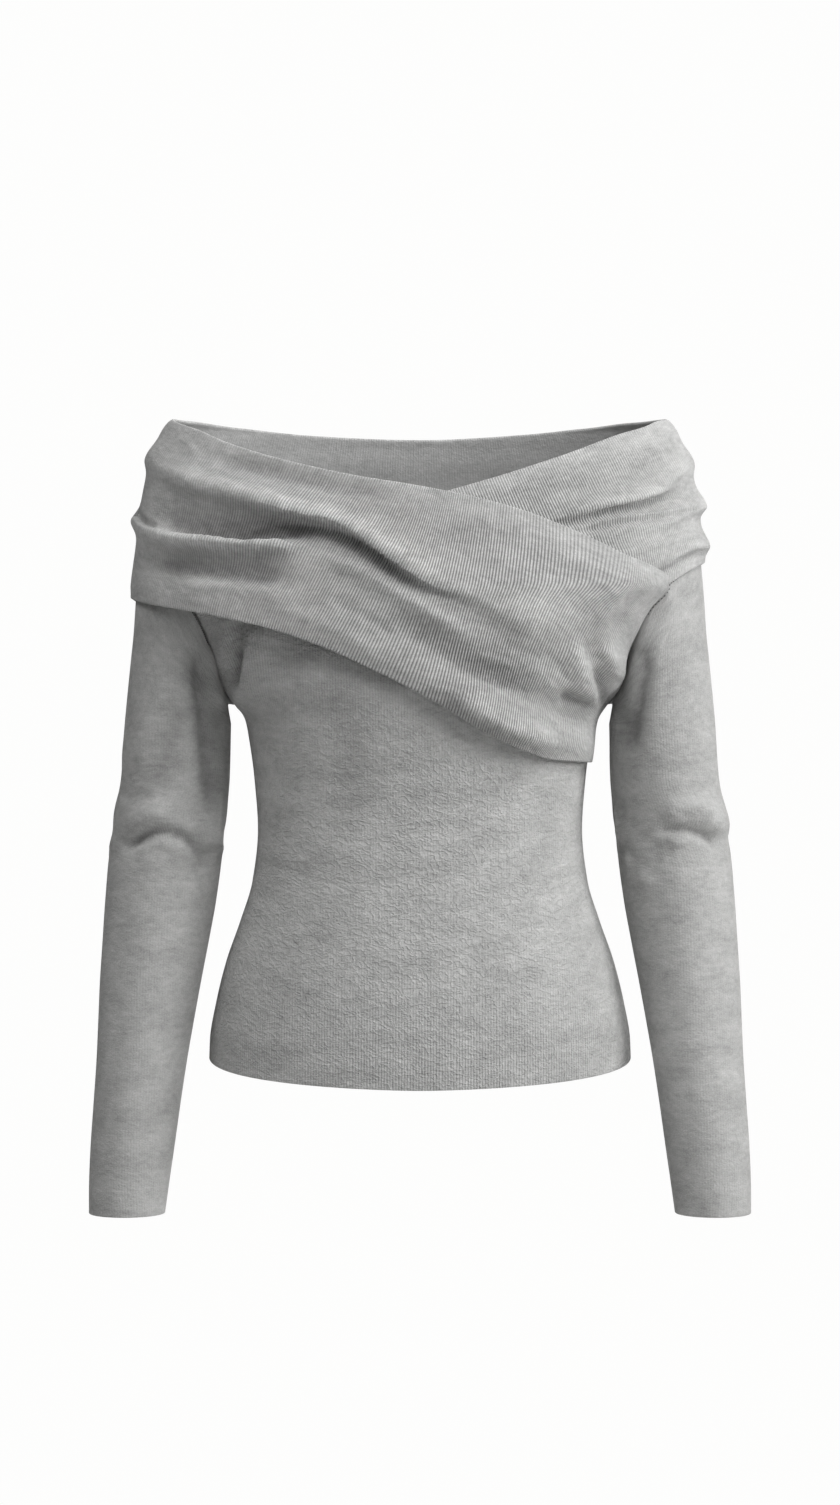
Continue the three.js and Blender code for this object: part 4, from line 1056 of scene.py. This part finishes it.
def stitched(name, lines, spacing, length, thickness, thread):
    """Stitches along lines, as one plain mesh. All sizes are in millimetres."""
    points, edges = [], []
    for line in lines:
        edges += [(len(points) + i, len(points) + i + 1) for i in range(len(line) - 1)]
        points += (line * MM).tolist()
    mesh = bpy.data.meshes.new(name)
    mesh.from_pydata(points, edges, [])
    guide = bpy.data.objects.new(name, mesh)
    bpy.context.scene.collection.objects.link(guide)
    modifier = guide.modifiers.new("stitches", "NODES")
    modifier.node_group = stitches
    values = {
        "Spacing": spacing * MM, "Length": length * MM, "Thickness": thickness * MM, "Seed": 7,
        "Thread": thread,
    }
    for socket in stitches.interface.items_tree:
        if socket.in_out == "INPUT" and socket.name in values:
            modifier[socket.identifier] = values[socket.name]
    bpy.context.view_layer.update()
    shown = guide.evaluated_get(bpy.context.evaluated_depsgraph_get())
    plain = bpy.data.meshes.new_from_object(shown)
    guide.modifiers.clear()
    guide.data = plain
    plain.polygons.foreach_set("use_smooth", np.ones(len(plain.polygons), bool))
    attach(guide, "root")


def seam_line(side, first, last, lift, aside=0.0):
    """The armhole seam's line on one arm, as a row of points a little above the cloth and aside."""
    line = armhole_point(np.linspace(first, last, 90), lift, SEAM_GAP / 2 + aside)
    line[:, 0] *= side
    return line


stitches = stitch_tree()
dark_thread = thread_material("dark thread", (0.07, 0.07, 0.07, 1))
# The left seam shows all round. The collar covers the right one beyond the corner on each side.
SEAM_START, SEAM_COVERED = 12, 97
right_seam = [
    seam_line(-1, SEAM_START, SEAM_COVERED, 0.25),
    seam_line(-1, 360 - SEAM_COVERED, 360 - SEAM_START, 0.25),
]
left_seam = [seam_line(1, SEAM_START, 360 - SEAM_START, 0.5, aside=1.0)]
stitched("right_armhole_stitches", right_seam, spacing=2.0, length=1.7, thickness=0.7, thread=dark_thread)
stitched("left_armhole_stitches", left_seam, spacing=3.0, length=1.7, thickness=0.7, thread=dark_thread)


# The room, lights and camera


FLOOR_Z = -1.35
pale_floor, _, floor_shader = new_material("pale floor", 0.8)
floor_shader.inputs["Base Color"].default_value = (0.86, 0.86, 0.855, 1)
bpy.ops.mesh.primitive_plane_add(size=6.2, location=(0, 0, FLOOR_Z))
floor = bpy.context.active_object
floor.name = "floor"
floor.data.materials.append(pale_floor)


def area_light(name, azimuth, height, power, size=1.4, away=3.0):
    """A soft round light aimed at the top. The azimuth runs from the camera to the wearer's left."""
    data = bpy.data.lights.new(name, "AREA")
    data.shape, data.size, data.energy = "DISK", size, power
    light = bpy.data.objects.new(name, data)
    around, up = math.radians(azimuth), math.radians(height)
    way = Vector((math.sin(around) * math.cos(up), -math.cos(around) * math.cos(up), math.sin(up)))
    light.location = Vector((0, 0, -0.15)) + way * away
    light.rotation_euler = way.to_track_quat("Z", "Y").to_euler()
    bpy.context.scene.collection.objects.link(light)


area_light("key", 72, 16, 60)
area_light("high key", 30, 46, 50)
area_light("left", -62, 48, 26)
area_light("front", 5, 15, 9)
area_light("back", 165, 40, 34)

world = bpy.data.worlds.new("studio")
bpy.context.scene.world = world
world.use_nodes = True
nodes, links = world.node_tree.nodes, world.node_tree.links
room_light = nodes["Background"]
room_light.inputs["Color"].default_value = (1, 1, 1, 1)
room_light.inputs["Strength"].default_value = 0.02
seen_white = nodes.new("ShaderNodeBackground")
seen_white.inputs["Color"].default_value = (0.985, 0.985, 0.98, 1)
seen_white.inputs["Strength"].default_value = 1.0
path, choose = nodes.new("ShaderNodeLightPath"), nodes.new("ShaderNodeMixShader")
links.new(path.outputs["Is Camera Ray"], choose.inputs["Fac"])
links.new(room_light.outputs[0], choose.inputs[1])
links.new(seen_white.outputs[0], choose.inputs[2])
links.new(choose.outputs[0], nodes["World Output"].inputs["Surface"])

camera_data = bpy.data.cameras.new("camera")
camera_data.sensor_width = SENSOR
camera_data.lens = SENSOR * CAMERA_AWAY / PICTURE_HEIGHT
camera = bpy.data.objects.new("camera", camera_data)
camera.location = (0, -CAMERA_AWAY * MM, CAMERA_Z * MM)
camera.rotation_euler = (math.pi / 2, 0, 0)
bpy.context.scene.collection.objects.link(camera)
bpy.context.scene.camera = camera
bpy.context.scene.view_settings.view_transform = "Standard"

bpy.context.view_layer.update()
